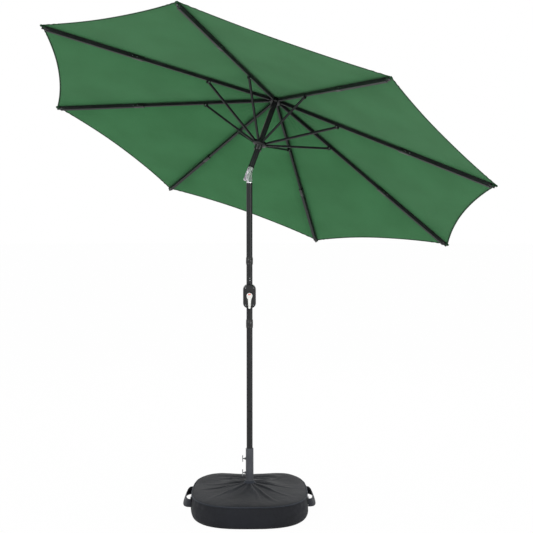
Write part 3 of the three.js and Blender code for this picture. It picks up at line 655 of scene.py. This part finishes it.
sleeve = spun([
    (0.0170, CROSS_TOP + 0.0005), (0.0213, CROSS_TOP + 0.0005), (0.0213, 0.3500), (0.0214, 0.3504),
    (0.0214, 0.3526), (0.0204, 0.3540), (0.0182, 0.3540), (0.0170, 0.3532), (0.0170, CROSS_TOP + 0.0005),
])
SCREWS = {"upper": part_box("upper_screw"), "lower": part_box("lower_screw")}
for low, high in SCREWS.values():
    nut = spun([
        (0.0042, 0), (0.0068, 0), (0.0068, 0.0075), (0.0062, 0.0082), (0.0042, 0.0082), (0.0042, 0),
    ], 6)
    merged(sleeve, moved(nut, along((-1, 0, 0), (-0.0198, 0, (low.z + high.z) / 2))))
piece("sleeve_tube", sleeve, CHARCOAL_STEEL, "base", ["base_sleeve"])
# the boot takes the piping's lighter cloth, with the same painted highlight
piece(
    "sleeve_boot",
    spun([
        (0.0216, 0.158), (0.0345, 0.1605), (0.0350, 0.1625), (0.0270, 0.1680), (0.0236, 0.1735),
        (0.0219, 0.1740), (0.0216, 0.158),
    ]),
    PIPING_PAINTED_HIGHLIGHT, "base",
)

POLE_SECTIONS = (
    ("pole_lower", CROSS_TOP + 0.001, 0.560), ("pole_middle", 0.5613, 1.0418),
    ("pole_upper", 1.0434, 1.8084),
)
for name, low, high in POLE_SECTIONS:
    shape = spun([
        (0.0150, low), (POLE_R - 0.0006, low), (POLE_R, low + 0.0006), (POLE_R, high - 0.0012),
        (POLE_R - 0.0010, high), (0.0148, high + 0.0004), (0.0148, low), (0.0150, low),
    ])
    piece(f"{name}_tube", shape, BLACK_STEEL, "base", [name])

for name in ("joint_collar", "trim_ring"):
    low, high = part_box(name)
    bottom, top = low.z, high.z
    shape = spun([
        (0.0168, bottom), (0.0184, bottom), (0.0190, bottom + 0.0012), (0.0190, bottom + 0.0052),
        (0.0184, bottom + 0.0062), (0.0184, bottom + 0.0076), (0.0191, bottom + 0.0086),
        (0.0191, top - 0.0086), (0.0184, top - 0.0076), (0.0184, top - 0.0062), (0.0190, top - 0.0052),
        (0.0190, top - 0.0012),
        (0.0184, top), (0.0168, top), (0.0168, bottom),
    ])
    piece(f"{name}_shape", shape, BLACK_PLASTIC, "base", [name])

rivets = bmesh.new()
for z in (1.2790, 1.2915):
    head = spun([(0, 0), (0.0027, 0), (0.0025, 0.0006), (0.0016, 0.0012), (0, 0.0014)], 20)
    merged(rivets, moved(head, along((0.15, -1, 0), (0.0024, -0.0163, z))))
piece("pole_rivets", rivets, PLATED, "base")

# %% [markdown]
# A locking screw is a threaded bar with a bar across its end to turn it by. The thread is a row of small
# ridges in its profile, and the crossbar is a second spun bar whose ends are rounded and swaged.

# %% Locking screws
for name, (low, high) in SCREWS.items():
    z = (low.z + high.z) / 2
    thread = [(0, 0)]
    for k in range(14):
        thread += [(0.0026, 0.0012 * k + 0.0002), (0.0032, 0.0012 * k + 0.0008)]
    thread += [(0.0030, 0.0178), (0.0036, 0.0186), (0.0036, 0.0212), (0, 0.0212)]
    stem = moved(spun(thread, 24), along((-1, 0, 0), (-0.0196, 0, z)))
    half = (high.z - low.z) / 2
    cross = spun([
        (0, -half), (0.0018, -half), (0.0026, -half + 0.0010), (0.0026, -half + 0.0045),
        (0.0022, -half + 0.0060), (0.0022, half - 0.0060), (0.0026, half - 0.0045), (0.0026, half - 0.0010),
        (0.0018, half), (0, half),
    ], 24)
    moved(cross, Matrix.Translation((-0.0385, 0, z)))
    screw = f"{name}_screw"
    piece(f"{screw}_shape", merged(stem, cross), PLATED, screw, [screw])
    refined(f"{name}_screw_tip", WHITE_PLASTIC, f"{name}_tip", 0.0003)

# %% [markdown]
# The crank's housing is two moulded shells with soft corners. Each is lofted through rounded rectangles
# that shrink towards the face, with a raised rim and a round boss, which is how a mould shapes it.

# %% Crank housing
HOUSING_Z = 1.1935
CRANK_Z = 1.1985


def housing_rings(steps):
    """Rounded rectangles of the housing, from the width, height, corner and depth of each."""
    rings = []
    for wide, tall, corner, y in steps:
        rings.append([(x, y, z + HOUSING_Z) for x, z in rounded_outline(wide, tall, corner)])
    return rings


front = lofted(housing_rings([
    (0.0700, 0.1280, 0.028, -0.0003), (0.0700, 0.1280, 0.028, -0.0060), (0.0690, 0.1270, 0.0275, -0.0068),
    (0.0690, 0.1270, 0.0275, -0.0082), (0.0700, 0.1280, 0.028, -0.0090), (0.0698, 0.1278, 0.028, -0.0330),
    (0.0685, 0.1265, 0.0272, -0.0375), (0.0650, 0.1230, 0.0255, -0.0405), (0.0600, 0.1180, 0.0235, -0.0416),
    (0.0570, 0.1150, 0.0225, -0.0418), (0.0560, 0.1140, 0.0222, -0.0406), (0.0535, 0.1115, 0.0215, -0.0404),
    (0.0500, 0.1080, 0.0205, -0.0408),
]))
boss = spun([
    (0, 0.036), (0.0215, 0.036), (0.0212, 0.0412), (0.0205, 0.0419), (0.0192, 0.0419), (0.0187, 0.0413),
    (0, 0.0413),
], 64)
piece(
    "housing_front_shell", merged(front, moved(boss, along((0, -1, 0), (0, 0, CRANK_Z)))),
    BLACK_PLASTIC, "base", ["housing_front"],
)
back = lofted(housing_rings([
    (0.0700, 0.1280, 0.028, 0.0003), (0.0700, 0.1280, 0.028, 0.0210), (0.0685, 0.1265, 0.0272, 0.0255),
    (0.0650, 0.1230, 0.0255, 0.0285), (0.0600, 0.1180, 0.0235, 0.0297), (0.0500, 0.1080, 0.0205, 0.0299),
]))
piece("housing_back_shell", back, BLACK_PLASTIC, "base", ["housing_back"])
screw_heads = bmesh.new()
for x in (-0.0215, 0.0215):
    for z in (-0.0465, 0.0465):
        for way, y in ((-1, -0.0405), (1, 0.0290)):
            head = spun([
                (0, 0), (0.0031, 0), (0.0031, 0.0008), (0.0026, 0.0015), (0.0012, 0.0018), (0, 0.0006),
            ], 20)
            merged(screw_heads, moved(head, along((0, way, 0), (x, y, HOUSING_Z + z))))
piece("housing_screws", screw_heads, PLATED, "base")

# %% [markdown]
# The lever is a teardrop of white plastic with a dished face. Its outline is bent once and then inset
# twice, first for the soft edge and then for the dish, and the knob is a spun grip on its own pin.

# %% Crank lever and knob
LEVER_BACK, LEVER_FACE = -0.0430, -0.0540
LEVER_LENGTH = 0.062
LEVER_HEAD_R = 0.0160
LEVER_END_R = 0.0062
WAIST = 0.42


def lever_half(z, head, end, length):
    """Half the lever's width at a height: a round head, a waisted neck and a slowly narrowing grip."""
    if z > 0:
        return math.sqrt(max(head * head - z * z, 0.0))
    share = min(1.0, -z / length)
    t = min(1.0, share / WAIST)
    neck = head * (1 - WAIST * (3 * t ** 2 - 2 * t ** 3))
    return neck + (end - neck) * max(0.0, share - 0.15) / 0.85


def teardrop(head, end, length, count=36):
    """The lever's outline, from its right side over the head and down to the rounded end."""
    turns = [math.pi * k / count for k in range(count + 1)]
    points = [(head * math.cos(a), head * math.sin(a)) for a in turns]
    drops = [length * k / 20 for k in range(1, 21)]
    left = [(-lever_half(-d, head, end, length), -d) for d in drops]
    foot = [(-end * math.cos(a), -length - end * math.sin(a)) for a in turns[3:-2:3]]
    return points + left + foot + [(-x, z) for x, z in reversed(left)]


def lever_ring(shrink, y):
    outline = teardrop(LEVER_HEAD_R - shrink, LEVER_END_R - shrink, LEVER_LENGTH)
    return [(x, y, z + CRANK_Z) for x, z in outline]


lever = lofted([
    lever_ring(0.0012, LEVER_BACK), lever_ring(0, LEVER_BACK - 0.0010), lever_ring(0, LEVER_FACE + 0.0022),
    lever_ring(0.0005, LEVER_FACE + 0.0007), lever_ring(0.0018, LEVER_FACE), lever_ring(0.0030, LEVER_FACE),
    lever_ring(0.0036, LEVER_FACE + 0.0012), lever_ring(0.0042, LEVER_FACE + 0.0014),
])
hub_cap = spun([
    (0, 0), (0.0062, 0), (0.0062, 0.0016), (0.0056, 0.0022), (0.0044, 0.0022), (0.0040, 0.0014),
    (0.0020, 0.0014), (0.0016, 0.0020), (0, 0.0022),
], 48)
piece("crank_lever_shape", lever, WHITE_PLASTIC, "crank", ["crank_lever"])
piece(
    "crank_lever_cap", moved(hub_cap, along((0, -1, 0), (0, LEVER_FACE + 0.0016, CRANK_Z - 0.0035))),
    WHITE_PLASTIC, "crank",
)
insert = block((0.0135, 0.0012, 0.0062), (0, LEVER_FACE + 0.0009, CRANK_Z + 0.0078), 0.0005, 2)
piece("crank_lever_insert", insert, RED_PLASTIC, "crank")
refined("crank_spool", PLATED, "crank", 0.0003)
ridges = [(0, -0.009), (0.0026, -0.009), (0.0026, 0.0003), (0.0052, 0.0003), (0.0061, 0.0012)]
for k in range(5):
    z = 0.004 + 0.0036 * k
    ridges += [(0.0061, z), (0.0056, z + 0.0007), (0.0056, z + 0.0013), (0.0061, z + 0.0020)]
ridges += [(0.0061, 0.0230), (0.0053, 0.0252), (0.0038, 0.0259), (0, 0.0260)]
piece(
    "crank_knob_shape", moved(spun(ridges, 40), along((0, -1, 0), (0, LEVER_FACE, CRANK_Z - LEVER_LENGTH))),
    WHITE_PLASTIC, "knob", ["crank_knob"],
)
refined("brake_spring", PLATED, "base", 0)

# %% [markdown]
# The tilt joint is two polished castings on one pin. Their CAD shapes are right already, so each is
# copied with its triangles joined and its edges eased, which is what makes a casting catch the light.

refined("tilt_socket", CASTING, "base", 0.0010, 3)
refined("tilt_fork", CASTING, "mast", 0.0010, 3)
refined("tilt_pin", PLATED, "base", 0.0004)
refined("tilt_button", BLACK_PLASTIC, "button", 0.0006)
spring = refined("button_spring", PLATED, "base", 0)
press = Vector(JOINTS["button_press"]["axis"]).normalized()
ends = sorted((vert.co.copy() for vert in spring.data.vertices), key=press.dot)
tuple(ends[-1])
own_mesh(spring)
pin_caps = bmesh.new()
for way in (-1, 1):
    cap = spun([
        (0, 0), (0.0062, 0), (0.0062, 0.0010), (0.0052, 0.0020), (0.0022, 0.0023), (0.0016, 0.0016),
        (0, 0.0016),
    ], 32)
    merged(pin_caps, moved(cap, SOCKET @ along((0, way, 0), (0, way * 0.0145, 0))))
piece("tilt_pin_caps", pin_caps, PLATED, "mast")

# %% [markdown]
# The tilting tube carries the crown hub at its top and the runner lower down. The runner's and hub's
# slots hold the struts and ribs, so their CAD shapes are kept and only refined.

# %% Tilting tube, hub, runner and finial
TUBE_R = 0.0155
TUBE_FOOT = 0.0223
piece(
    "tilt_tube_shape",
    spun([
        (0.01375, TUBE_FOOT), (0.0150, TUBE_FOOT), (TUBE_R, TUBE_FOOT + 0.0006), (TUBE_R, 0.4565),
        (0.0150, 0.4570), (0.01375, 0.4570), (0.01375, TUBE_FOOT),
    ]),
    BLACK_STEEL, "mast", ["tilt_tube"], MAST,
)
piece(
    "tube_foot_collar",
    spun([
        (0.0156, 0.0225), (0.0170, 0.0225), (0.0174, 0.0232), (0.0174, 0.0312), (0.0170, 0.0320),
        (0.0156, 0.0320), (0.0156, 0.0225),
    ]),
    BLACK_PLASTIC, "mast", (), MAST,
)
refined("crown_hub", BLACK_PLASTIC, "mast", 0.0008)
refined("hub_ring", PLATED, "mast", 0, smooth=70)
refined("runner", BLACK_PLASTIC, "runner", 0.0008)
refined("runner_ring", PLATED, "runner", 0, smooth=70)
refined("crown_pulley", PLATED, "pulley", 0.0003)
FINIAL_FOOT = 0.466
finial = spun([
    (0, -0.026), (0.0112, -0.026), (0.0112, -0.0005), (0.0300, -0.0005), (0.0318, 0.0010),
    (0.0320, 0.0030), (0.0300, 0.0045), (0.0262, 0.0058), (0.0200, 0.0080), (0.0140, 0.0108),
    (0.0115, 0.0140), (0.0102, 0.0190), (0.0104, 0.0225), (0.0126, 0.0270), (0.0150, 0.0320),
    (0.0160, 0.0370), (0.0159, 0.0410), (0.0146, 0.0460), (0.0112, 0.0510), (0.0064, 0.0545), (0, 0.0560),
], 64)
bmesh.ops.translate(finial, vec=(0, 0, FINIAL_FOOT), verts=finial.verts)
piece("finial_shape", finial, BLACK_PLASTIC, "mast", ["finial"], MAST)

# %% [markdown]
# Ribs and struts are folded steel channels. The CAD ones keep their shape here; what is added is what is
# riveted or clipped to them: rivets at each strut's bracket, a moulded joiner where the rib's two lengths
# meet, a tie that holds the cloth to the rib, and a rounded cap in the pocket at the canopy's corner.

# %% Ribs and struts
DROOP = math.radians(12.2)
RIB_LENGTH = (1.321 - HUB_PIN_R) / math.cos(DROOP)
RIB_STEP = 0.776
BRACKET_AT = 0.3847
BRACKET_DROP = 0.014


def rib_frame(i):
    """Rib i's own axes: the origin on its pin and X down its length."""
    return rib_turn(i) @ Matrix.Translation((HUB_PIN_R, 0, HUB_Z)) @ Matrix.Rotation(DROOP, 4, "Y")


def rivet(radius=0.0036, height=0.0016):
    return spun([
        (0, 0), (radius, 0), (radius * 0.95, height * 0.45), (radius * 0.7, height * 0.85), (0, height),
    ], 16)


for i in range(1, RIBS + 1):
    rib = f"rib_{i}"
    refined(rib, BLACK_STEEL, rib, 0.0008)
    refined(f"strut_{i}", BLACK_STEEL, f"strut_{i}", 0.0008)

    heads = bmesh.new()
    for way in (-1, 1):
        at = (BRACKET_AT, way * 0.0080, -BRACKET_DROP)
        merged(heads, moved(rivet(0.0042, 0.0018), along((0, way, 0), at)))
        for step in (0.018, 0.044):
            at = (RIB_STEP + 0.01 + step, way * 0.0094, 0)
            merged(heads, moved(rivet(0.0022, 0.0010), along((0, way, 0), at)))
    piece(f"{rib}_rivets", heads, PLATED, rib, (), rib_frame(i))

    joiner = block((0.062, 0.0180, 0.0216), (RIB_STEP + 0.020, 0, -0.0004), 0.0022, 3)
    collar = block((0.012, 0.0200, 0.0226), (RIB_STEP - 0.006, 0, -0.0007), 0.0026, 3)
    piece(f"{rib}_joiner", merged(joiner, collar), BLACK_PLASTIC, rib, (), rib_frame(i))

    end = RIB_LENGTH - 0.030
    cap = spun([
        (0, 0), (0.0074, 0), (0.0082, 0.0012), (0.0082, 0.0150), (0.0074, 0.0180), (0.0058, 0.0200),
        (0.0056, 0.0240), (0.0066, 0.0262), (0.0068, 0.0280), (0.0056, 0.0305), (0.0030, 0.0320),
        (0, 0.0322),
    ], 32)
    piece(
        f"{rib}_cap", moved(cap, along((1, 0, 0), (end - 0.012, 0, 0.0006))),
        BLACK_PLASTIC, rib, (), rib_frame(i),
    )

# %% [markdown]
# The canopy is cloth pulled tight over the ribs. Each of its eight sewn panels is one curved sheet: its
# sides run along the ribs' seams, where it meets its neighbours edge to edge, its middle dips a little,
# and its hem curves in. Small ripples run out of the corners and the crown, where the pull is strongest.

# %% The cloth's surface
CORNER_R = 1.321
HEM_SAG = 0.044
CLOTH_RISE = HUB_Z + HUB_PIN_R * math.tan(DROOP) + 0.0146 / math.cos(DROOP)
CLOTH_SLOPE = math.tan(DROOP) / math.cos(HALF_GORE)
CROWN_R = 0.0125


def cloth_point(r, v, lift=0.0):
    """A point of a panel in its own turn: r out along the seams, v from -1 to 1 between them."""
    bow = 1 - v * v
    share = r / CORNER_R
    x = r * math.cos(HALF_GORE) - HEM_SAG * bow * share ** 5
    y = v * r * math.sin(HALF_GORE)
    free = max(0.0, min(1.0, (r - 0.035) / 0.085))
    dip = 0.011 * free * bow * math.sin(math.pi * min(1.0, share) ** 0.8)
    gather = 0.0010 * math.sin(17 * v + 0.6) * bow * hump(r, 0.18, 0.13)
    pull = (
        0.0016 * math.sin(60 * (1 - abs(v)) * (0.4 + share)) * hump(abs(v), 0.86, 0.14)
        * hump(share, 0.93, 0.22)
    )
    drift = 0.0016 * free * bow * noise.noise(Vector((x * 2.6, y * 2.6, 4.0)))
    return Vector((x, y, CLOTH_RISE - CLOTH_SLOPE * x - dip + gather + pull + drift + lift))


def seam_point(i, r, across, lift=0.0):
    """A point near the seam over rib i, across metres to its left, in the row frame."""
    v = min(1.0, abs(across) / (r * math.sin(HALF_GORE)))
    if across >= 0:
        return gore_turn(i) @ cloth_point(r, v - 1, lift)
    return gore_turn(i - 1) @ cloth_point(r, 1 - v, lift)


def fold_along(made):
    """Gives the piece a mesh of its own; its shape is not changed."""
    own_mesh(made)


# %% [markdown]
# A panel's hem is bound: a narrow dark tape folded over the raw edge and stitched. It is a flattened tube
# that follows the panel's outer edge, so it rides with its panel.

# %% Panels and their bindings
HEM_SECTION = [
    (-0.0080, 0.0013), (-0.0030, 0.0015), (0.0006, 0.0013), (0.0014, 0.0), (0.0006, -0.0013),
    (-0.0030, -0.0015), (-0.0080, -0.0013), (-0.0086, 0.0),
]


def panel_point(u, v):
    return cloth_point(CROWN_R + (CORNER_R - CROWN_R) * u, 2 * v - 1)


def hem_point(u, v):
    k = u * len(HEM_SECTION)
    a, b = HEM_SECTION[int(k) % len(HEM_SECTION)], HEM_SECTION[(int(k) + 1) % len(HEM_SECTION)]
    t = k - int(k)
    inward, lift = a[0] + (b[0] - a[0]) * t, a[1] + (b[1] - a[1]) * t
    return cloth_point(CORNER_R - 0.0008 + inward, 2 * v - 1, lift)


for i in range(1, RIBS + 1):
    gore = f"gore_{i}"
    panel = wrapped(72, 56, panel_point, lambda u, v: (u * 1.25, (v - 0.5) * u), closed=False)
    sheet = piece(f"{gore}_cloth", panel, GREEN_CANOPY, gore, [gore], gore_turn(i))
    thick = sheet.modifiers.new("cloth_thickness", "SOLIDIFY")
    thick.thickness = 0.0007
    thick.offset = 0
    hem = wrapped(24, 96, hem_point, lambda u, v: (u * 0.02, v * 1.02))
    bmesh.ops.holes_fill(hem, edges=hem.edges, sides=0)
    binding = piece(f"{gore}_binding", hem, GREEN_BINDING, gore, (), gore_turn(i))
    for made in (sheet, binding):
        fold_along(made)
print("panels", len(sheet.data.polygons), "faces each")

# %% [markdown]
# Two panels are joined by a flat seam that lies along the rib. The doubled cloth is a shallow strip on
# both faces, with two rows of stitches. Each half of a seam belongs to its own panel, so it stays on the
# cloth as the canopy folds. At the corner the seam ends in a bound tab, tied round the rib's cap.

# %% Seams, stitches and corner tabs
SEAM_FROM, SEAM_TO = 0.045, CORNER_R - 0.004
STITCH = 0.018


def seam_strip(i, side, half, lift, thick):
    """Half of the seam over rib i, on the side (1 or -1) that its panel lies."""
    def point(u, v):
        r = SEAM_FROM + (SEAM_TO - SEAM_FROM) * u
        return seam_point(i, r, side * (0.0001 + v * min(half, r * 0.3)), lift)

    bm = wrapped(60, 4, point, lambda u, v: (u * 1.3, v * half), closed=False)
    bmesh.ops.solidify(bm, geom=bm.faces, thickness=thick)
    return bm


def stitch_row(i, across, lift):
    rows = bmesh.new()
    count = int((SEAM_TO - 0.16) / STITCH)
    for k in range(count):
        r = 0.14 + STITCH * k
        a, b = seam_point(i, r, across, lift), seam_point(i, r + STITCH * 0.62, across, lift)
        thread = block(((b - a).length, 0.0009, 0.0006))
        turn = (b - a).to_track_quat("X", "Z").to_matrix().to_4x4()
        merged(rows, moved(thread, Matrix.Translation((a + b) / 2) @ turn))
    return rows


for i in range(1, RIBS + 1):
    rib, gore = f"rib_{i}", f"gore_{i}"
    strips, threads = [], []
    for seam, side in ((i, 1), (i % RIBS + 1, -1)):
        for half, row, lift in ((0.0090, 0.0060, -0.0012), (0.0075, 0.0050, 0.0012)):
            strips.append(seam_strip(seam, side, half, lift, 0.0006))
            threads.append(stitch_row(seam, side * row, math.copysign(0.0019, lift)))
    fold_along(piece(f"{gore}_seams", merged(*strips), GREEN_SEAM, gore))
    fold_along(piece(f"{gore}_stitches", merged(*threads), GREEN_BINDING, gore))

    tab = block((0.030, 0.020, 0.0022), (RIB_LENGTH - 0.014, 0, 0.0125), 0.0009, 2)
    knot = bmesh.new()
    bmesh.ops.create_icosphere(knot, subdivisions=3, radius=0.0062)
    for vert in knot.verts:
        vert.co *= 1 + 0.10 * math.sin(1300 * vert.co.x + 900 * vert.co.z)
        vert.co.x *= 1.25
    bmesh.ops.translate(knot, vec=(RIB_LENGTH - 0.004, 0, 0.0105), verts=knot.verts)
    loop = spun([
        (0.0068, -0.0045), (0.0080, -0.0045), (0.0080, 0.0045), (0.0068, 0.0045), (0.0068, -0.0045),
    ], 32)
    bmesh.ops.scale(loop, vec=(1.25, 1.0, 1.0), verts=loop.verts)
    moved(loop, along((1, 0, 0), (RIB_LENGTH - 0.017, 0, 0.0042)))
    tied = merged(tab, knot, loop)
    piece(f"{rib}_corner_tab", tied, GREEN_BINDING, rib, (), rib_frame(i))

# %% [markdown]
# Under the finial a small doubled patch keeps rain out of the crown, where all the seams meet. It has
# one sector on each panel, bent to the panel's own surface, so it closes and opens with the canopy.

# %% Crown patch
PATCH_FROM, PATCH_WIDE = 0.025, 0.050


def crown_point(u, v):
    r = PATCH_FROM + PATCH_WIDE * v
    return cloth_point(r, 0.999 * (2 * u - 1), 0.0027)


for i in range(1, RIBS + 1):
    sector = wrapped(16, 12, crown_point, lambda u, v: (u * 0.06, v * 0.06), closed=False)
    bmesh.ops.solidify(sector, geom=sector.faces, thickness=0.0007)
    patch = piece(f"crown_patch_{i}", sector, GREEN_SEAM, f"gore_{i}", (), gore_turn(i))
    fold_along(patch)

# %% [markdown]
# The lift cord runs from the crank's drum up inside the pole and the tilting tube, over the pulley, and
# down outside the tube to the runner. Its pieces in the tube and down its side ride on no body.

# %% Lift cord
CORD_R = 0.0016
CORD_SIDE = math.radians(180)
PULLEY_Z = 0.402
PULLEY_OUT = 0.005
WRAP = 0.0094
FALL = TUBE_R + CORD_R + 0.001
RUNNER_TOP = 0.1863
DRUM_SIDE = 0.0087
drum_turn = math.atan2(LEVEL.y, LEVEL.x)
drum = (DRUM_SIDE * math.cos(-drum_turn), DRUM_SIDE * math.sin(-drum_turn))


def beside(r, z):
    return (r * math.cos(CORD_SIDE), r * math.sin(CORD_SIDE), z)


tube_along(
    "lift_cord_in_pole",
    [(*drum, -0.6765), (*drum, -0.6465), (0.004, 0, -0.5565), (0, 0, -0.389), (-0.006, 0, -0.181),
     (-0.011, 0, -0.121), (-0.011, 0, -0.071), (-0.011, 0, -0.020), (-0.011, 0, 0.0)],
    CORD_R, GREY_CORD, "base", stands_for=["lift_cord_lower"], matrix=SOCKET,
)
inner = tube_along(
    "lift_cord_in_tube",
    [(-0.008, 0, 0.016), (-0.008, 0, 0.038), (-0.008, 0, 0.068), (-0.005, 0, 0.130),
     (-0.0035, 0.0015, 0.240)] + [beside(PULLEY_OUT - WRAP, z) for z in (0.342, 0.382, 0.402)],
    CORD_R, GREY_CORD, None, stands_for=["lift_cord_upper"], matrix=MAST,
)
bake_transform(inner)
fall = [beside(FALL, PULLEY_Z - 0.026), beside(FALL, PULLEY_Z - 0.060)]
fall += [beside(FALL, z) for z in (0.32, 0.29, 0.26, 0.23, 0.21)] + [beside(FALL, RUNNER_TOP)]
drop = tube_along(
    "lift_cord_fall",
    [beside(PULLEY_OUT - WRAP, PULLEY_Z + 0.001), beside(PULLEY_OUT - WRAP * 0.7, PULLEY_Z + WRAP * 0.72),
     beside(PULLEY_OUT, PULLEY_Z + WRAP + 0.0006), beside(PULLEY_OUT + WRAP * 0.72, PULLEY_Z + WRAP * 0.7),
     beside(PULLEY_OUT + WRAP, PULLEY_Z - 0.001)] + fall,
    CORD_R, GREY_CORD, None, stands_for=["lift_cord_drop"], matrix=MAST,
)
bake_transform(drop)
knot = bmesh.new()
bmesh.ops.create_icosphere(knot, subdivisions=3, radius=0.0042)
bmesh.ops.translate(knot, vec=beside(FALL + 0.0005, RUNNER_TOP + 0.004), verts=knot.verts)
uv = knot.loops.layers.uv.new("cloth")
for face in knot.faces:
    for loop in face.loops:
        loop[uv].uv = (loop.vert.co.x, loop.vert.co.z)
piece("lift_cord_knot", knot, GREY_CORD, "runner", (), MAST)
tube_along(
    "lift_cord_tail",
    [beside(FALL + 0.002, RUNNER_TOP + 0.006), beside(FALL + 0.008, RUNNER_TOP + 0.016),
     beside(FALL + 0.011, RUNNER_TOP + 0.026), beside(FALL + 0.009, RUNNER_TOP + 0.034)],
    CORD_R * 0.9, GREY_CORD, "runner", matrix=MAST,
)

# %% [markdown]
# What is left inside the bag keeps its CAD shape: the welded steel cross and the sand round it.

# %% Inside the base
refined("cross_base", BLACK_STEEL, "base", 0.0015)
refined("sand_ballast", SAND, "base", 0)

# %% [markdown]
# The studio is a wide white floor under an even white sky, with large soft lamps. The sky looks plain
# white to the camera, in gloss and through glass, and the floor nearly so to the camera alone. The lamps
# and the sky's own light set how bright the pieces are.

# %% Floor, sky and lamps
WHITE = (1, 1, 1, 1)
SKY_LIGHT = 0.72
FLOOR_WHITE_SHARE = 0.98

world = bpy.data.worlds.new("sky")
world.use_nodes = True
bpy.context.scene.world = world
sky = Nodes(world.node_tree)
daylight = sky.tree.nodes["Background"]
daylight.inputs["Color"].default_value = WHITE
daylight.inputs["Strength"].default_value = SKY_LIGHT
seen = [
    sky.node("ShaderNodeLightPath", output=f"Is {way} Ray") for way in ("Camera", "Glossy", "Transmission")
]
plain = sky.node("ShaderNodeBackground", None, {"Color": WHITE, "Strength": 1.0})
seen_at_all = sky.maths("MAXIMUM", sky.maths("MAXIMUM", seen[0], seen[1]), seen[2])
sky.send_out(Wire(sky, daylight.outputs[0]), plain, seen_at_all, "World Output")

floor_mesh = bmesh.new()
bmesh.ops.create_circle(floor_mesh, cap_ends=True, segments=96, radius=40)
floor_data = bpy.data.meshes.new("floor")
floor_mesh.to_mesh(floor_data)
floor_mesh.free()
floor = bpy.data.objects.new("floor", floor_data)
floor.location.z = -0.0005
bpy.context.scene.collection.objects.link(floor)
floor_paint = Paint("floor_white", Base_Color=(0.86, 0.86, 0.86, 1), Roughness=1.0, Specular_IOR_Level=0.0)
rays = floor_paint.node("ShaderNodeLightPath", output="Is Camera Ray")
glow = floor_paint.node("ShaderNodeEmission", None, {"Color": WHITE, "Strength": 1.0})
own = Wire(floor_paint, floor_paint.shader.outputs[0])
floor_paint.send_out(own, glow, rays * FLOOR_WHITE_SHARE, "Material Output")
floor_data.materials.append(floor_paint.material)


def lamp(name, at, aim, size, power):
    data = bpy.data.lights.new(name, "AREA")
    data.shape = "DISK"
    data.size = size
    data.energy = power
    made = bpy.data.objects.new(name, data)
    made.location = at
    made.rotation_euler = (Vector(aim) - Vector(at)).to_track_quat("-Z", "Y").to_euler()
    bpy.context.scene.collection.objects.link(made)


lamp("key", (-3.2, -4.2, 4.6), (0, 0, 1.0), 2.6, 150)
lamp("fill", (3.4, -3.6, 1.9), (0, 0, 1.6), 1.6, 75)
lamp("rim", (1.0, 4.5, 3.6), (0, 0, 1.0), 2.4, 60)
bpy.context.scene.view_settings.view_transform = "Standard"
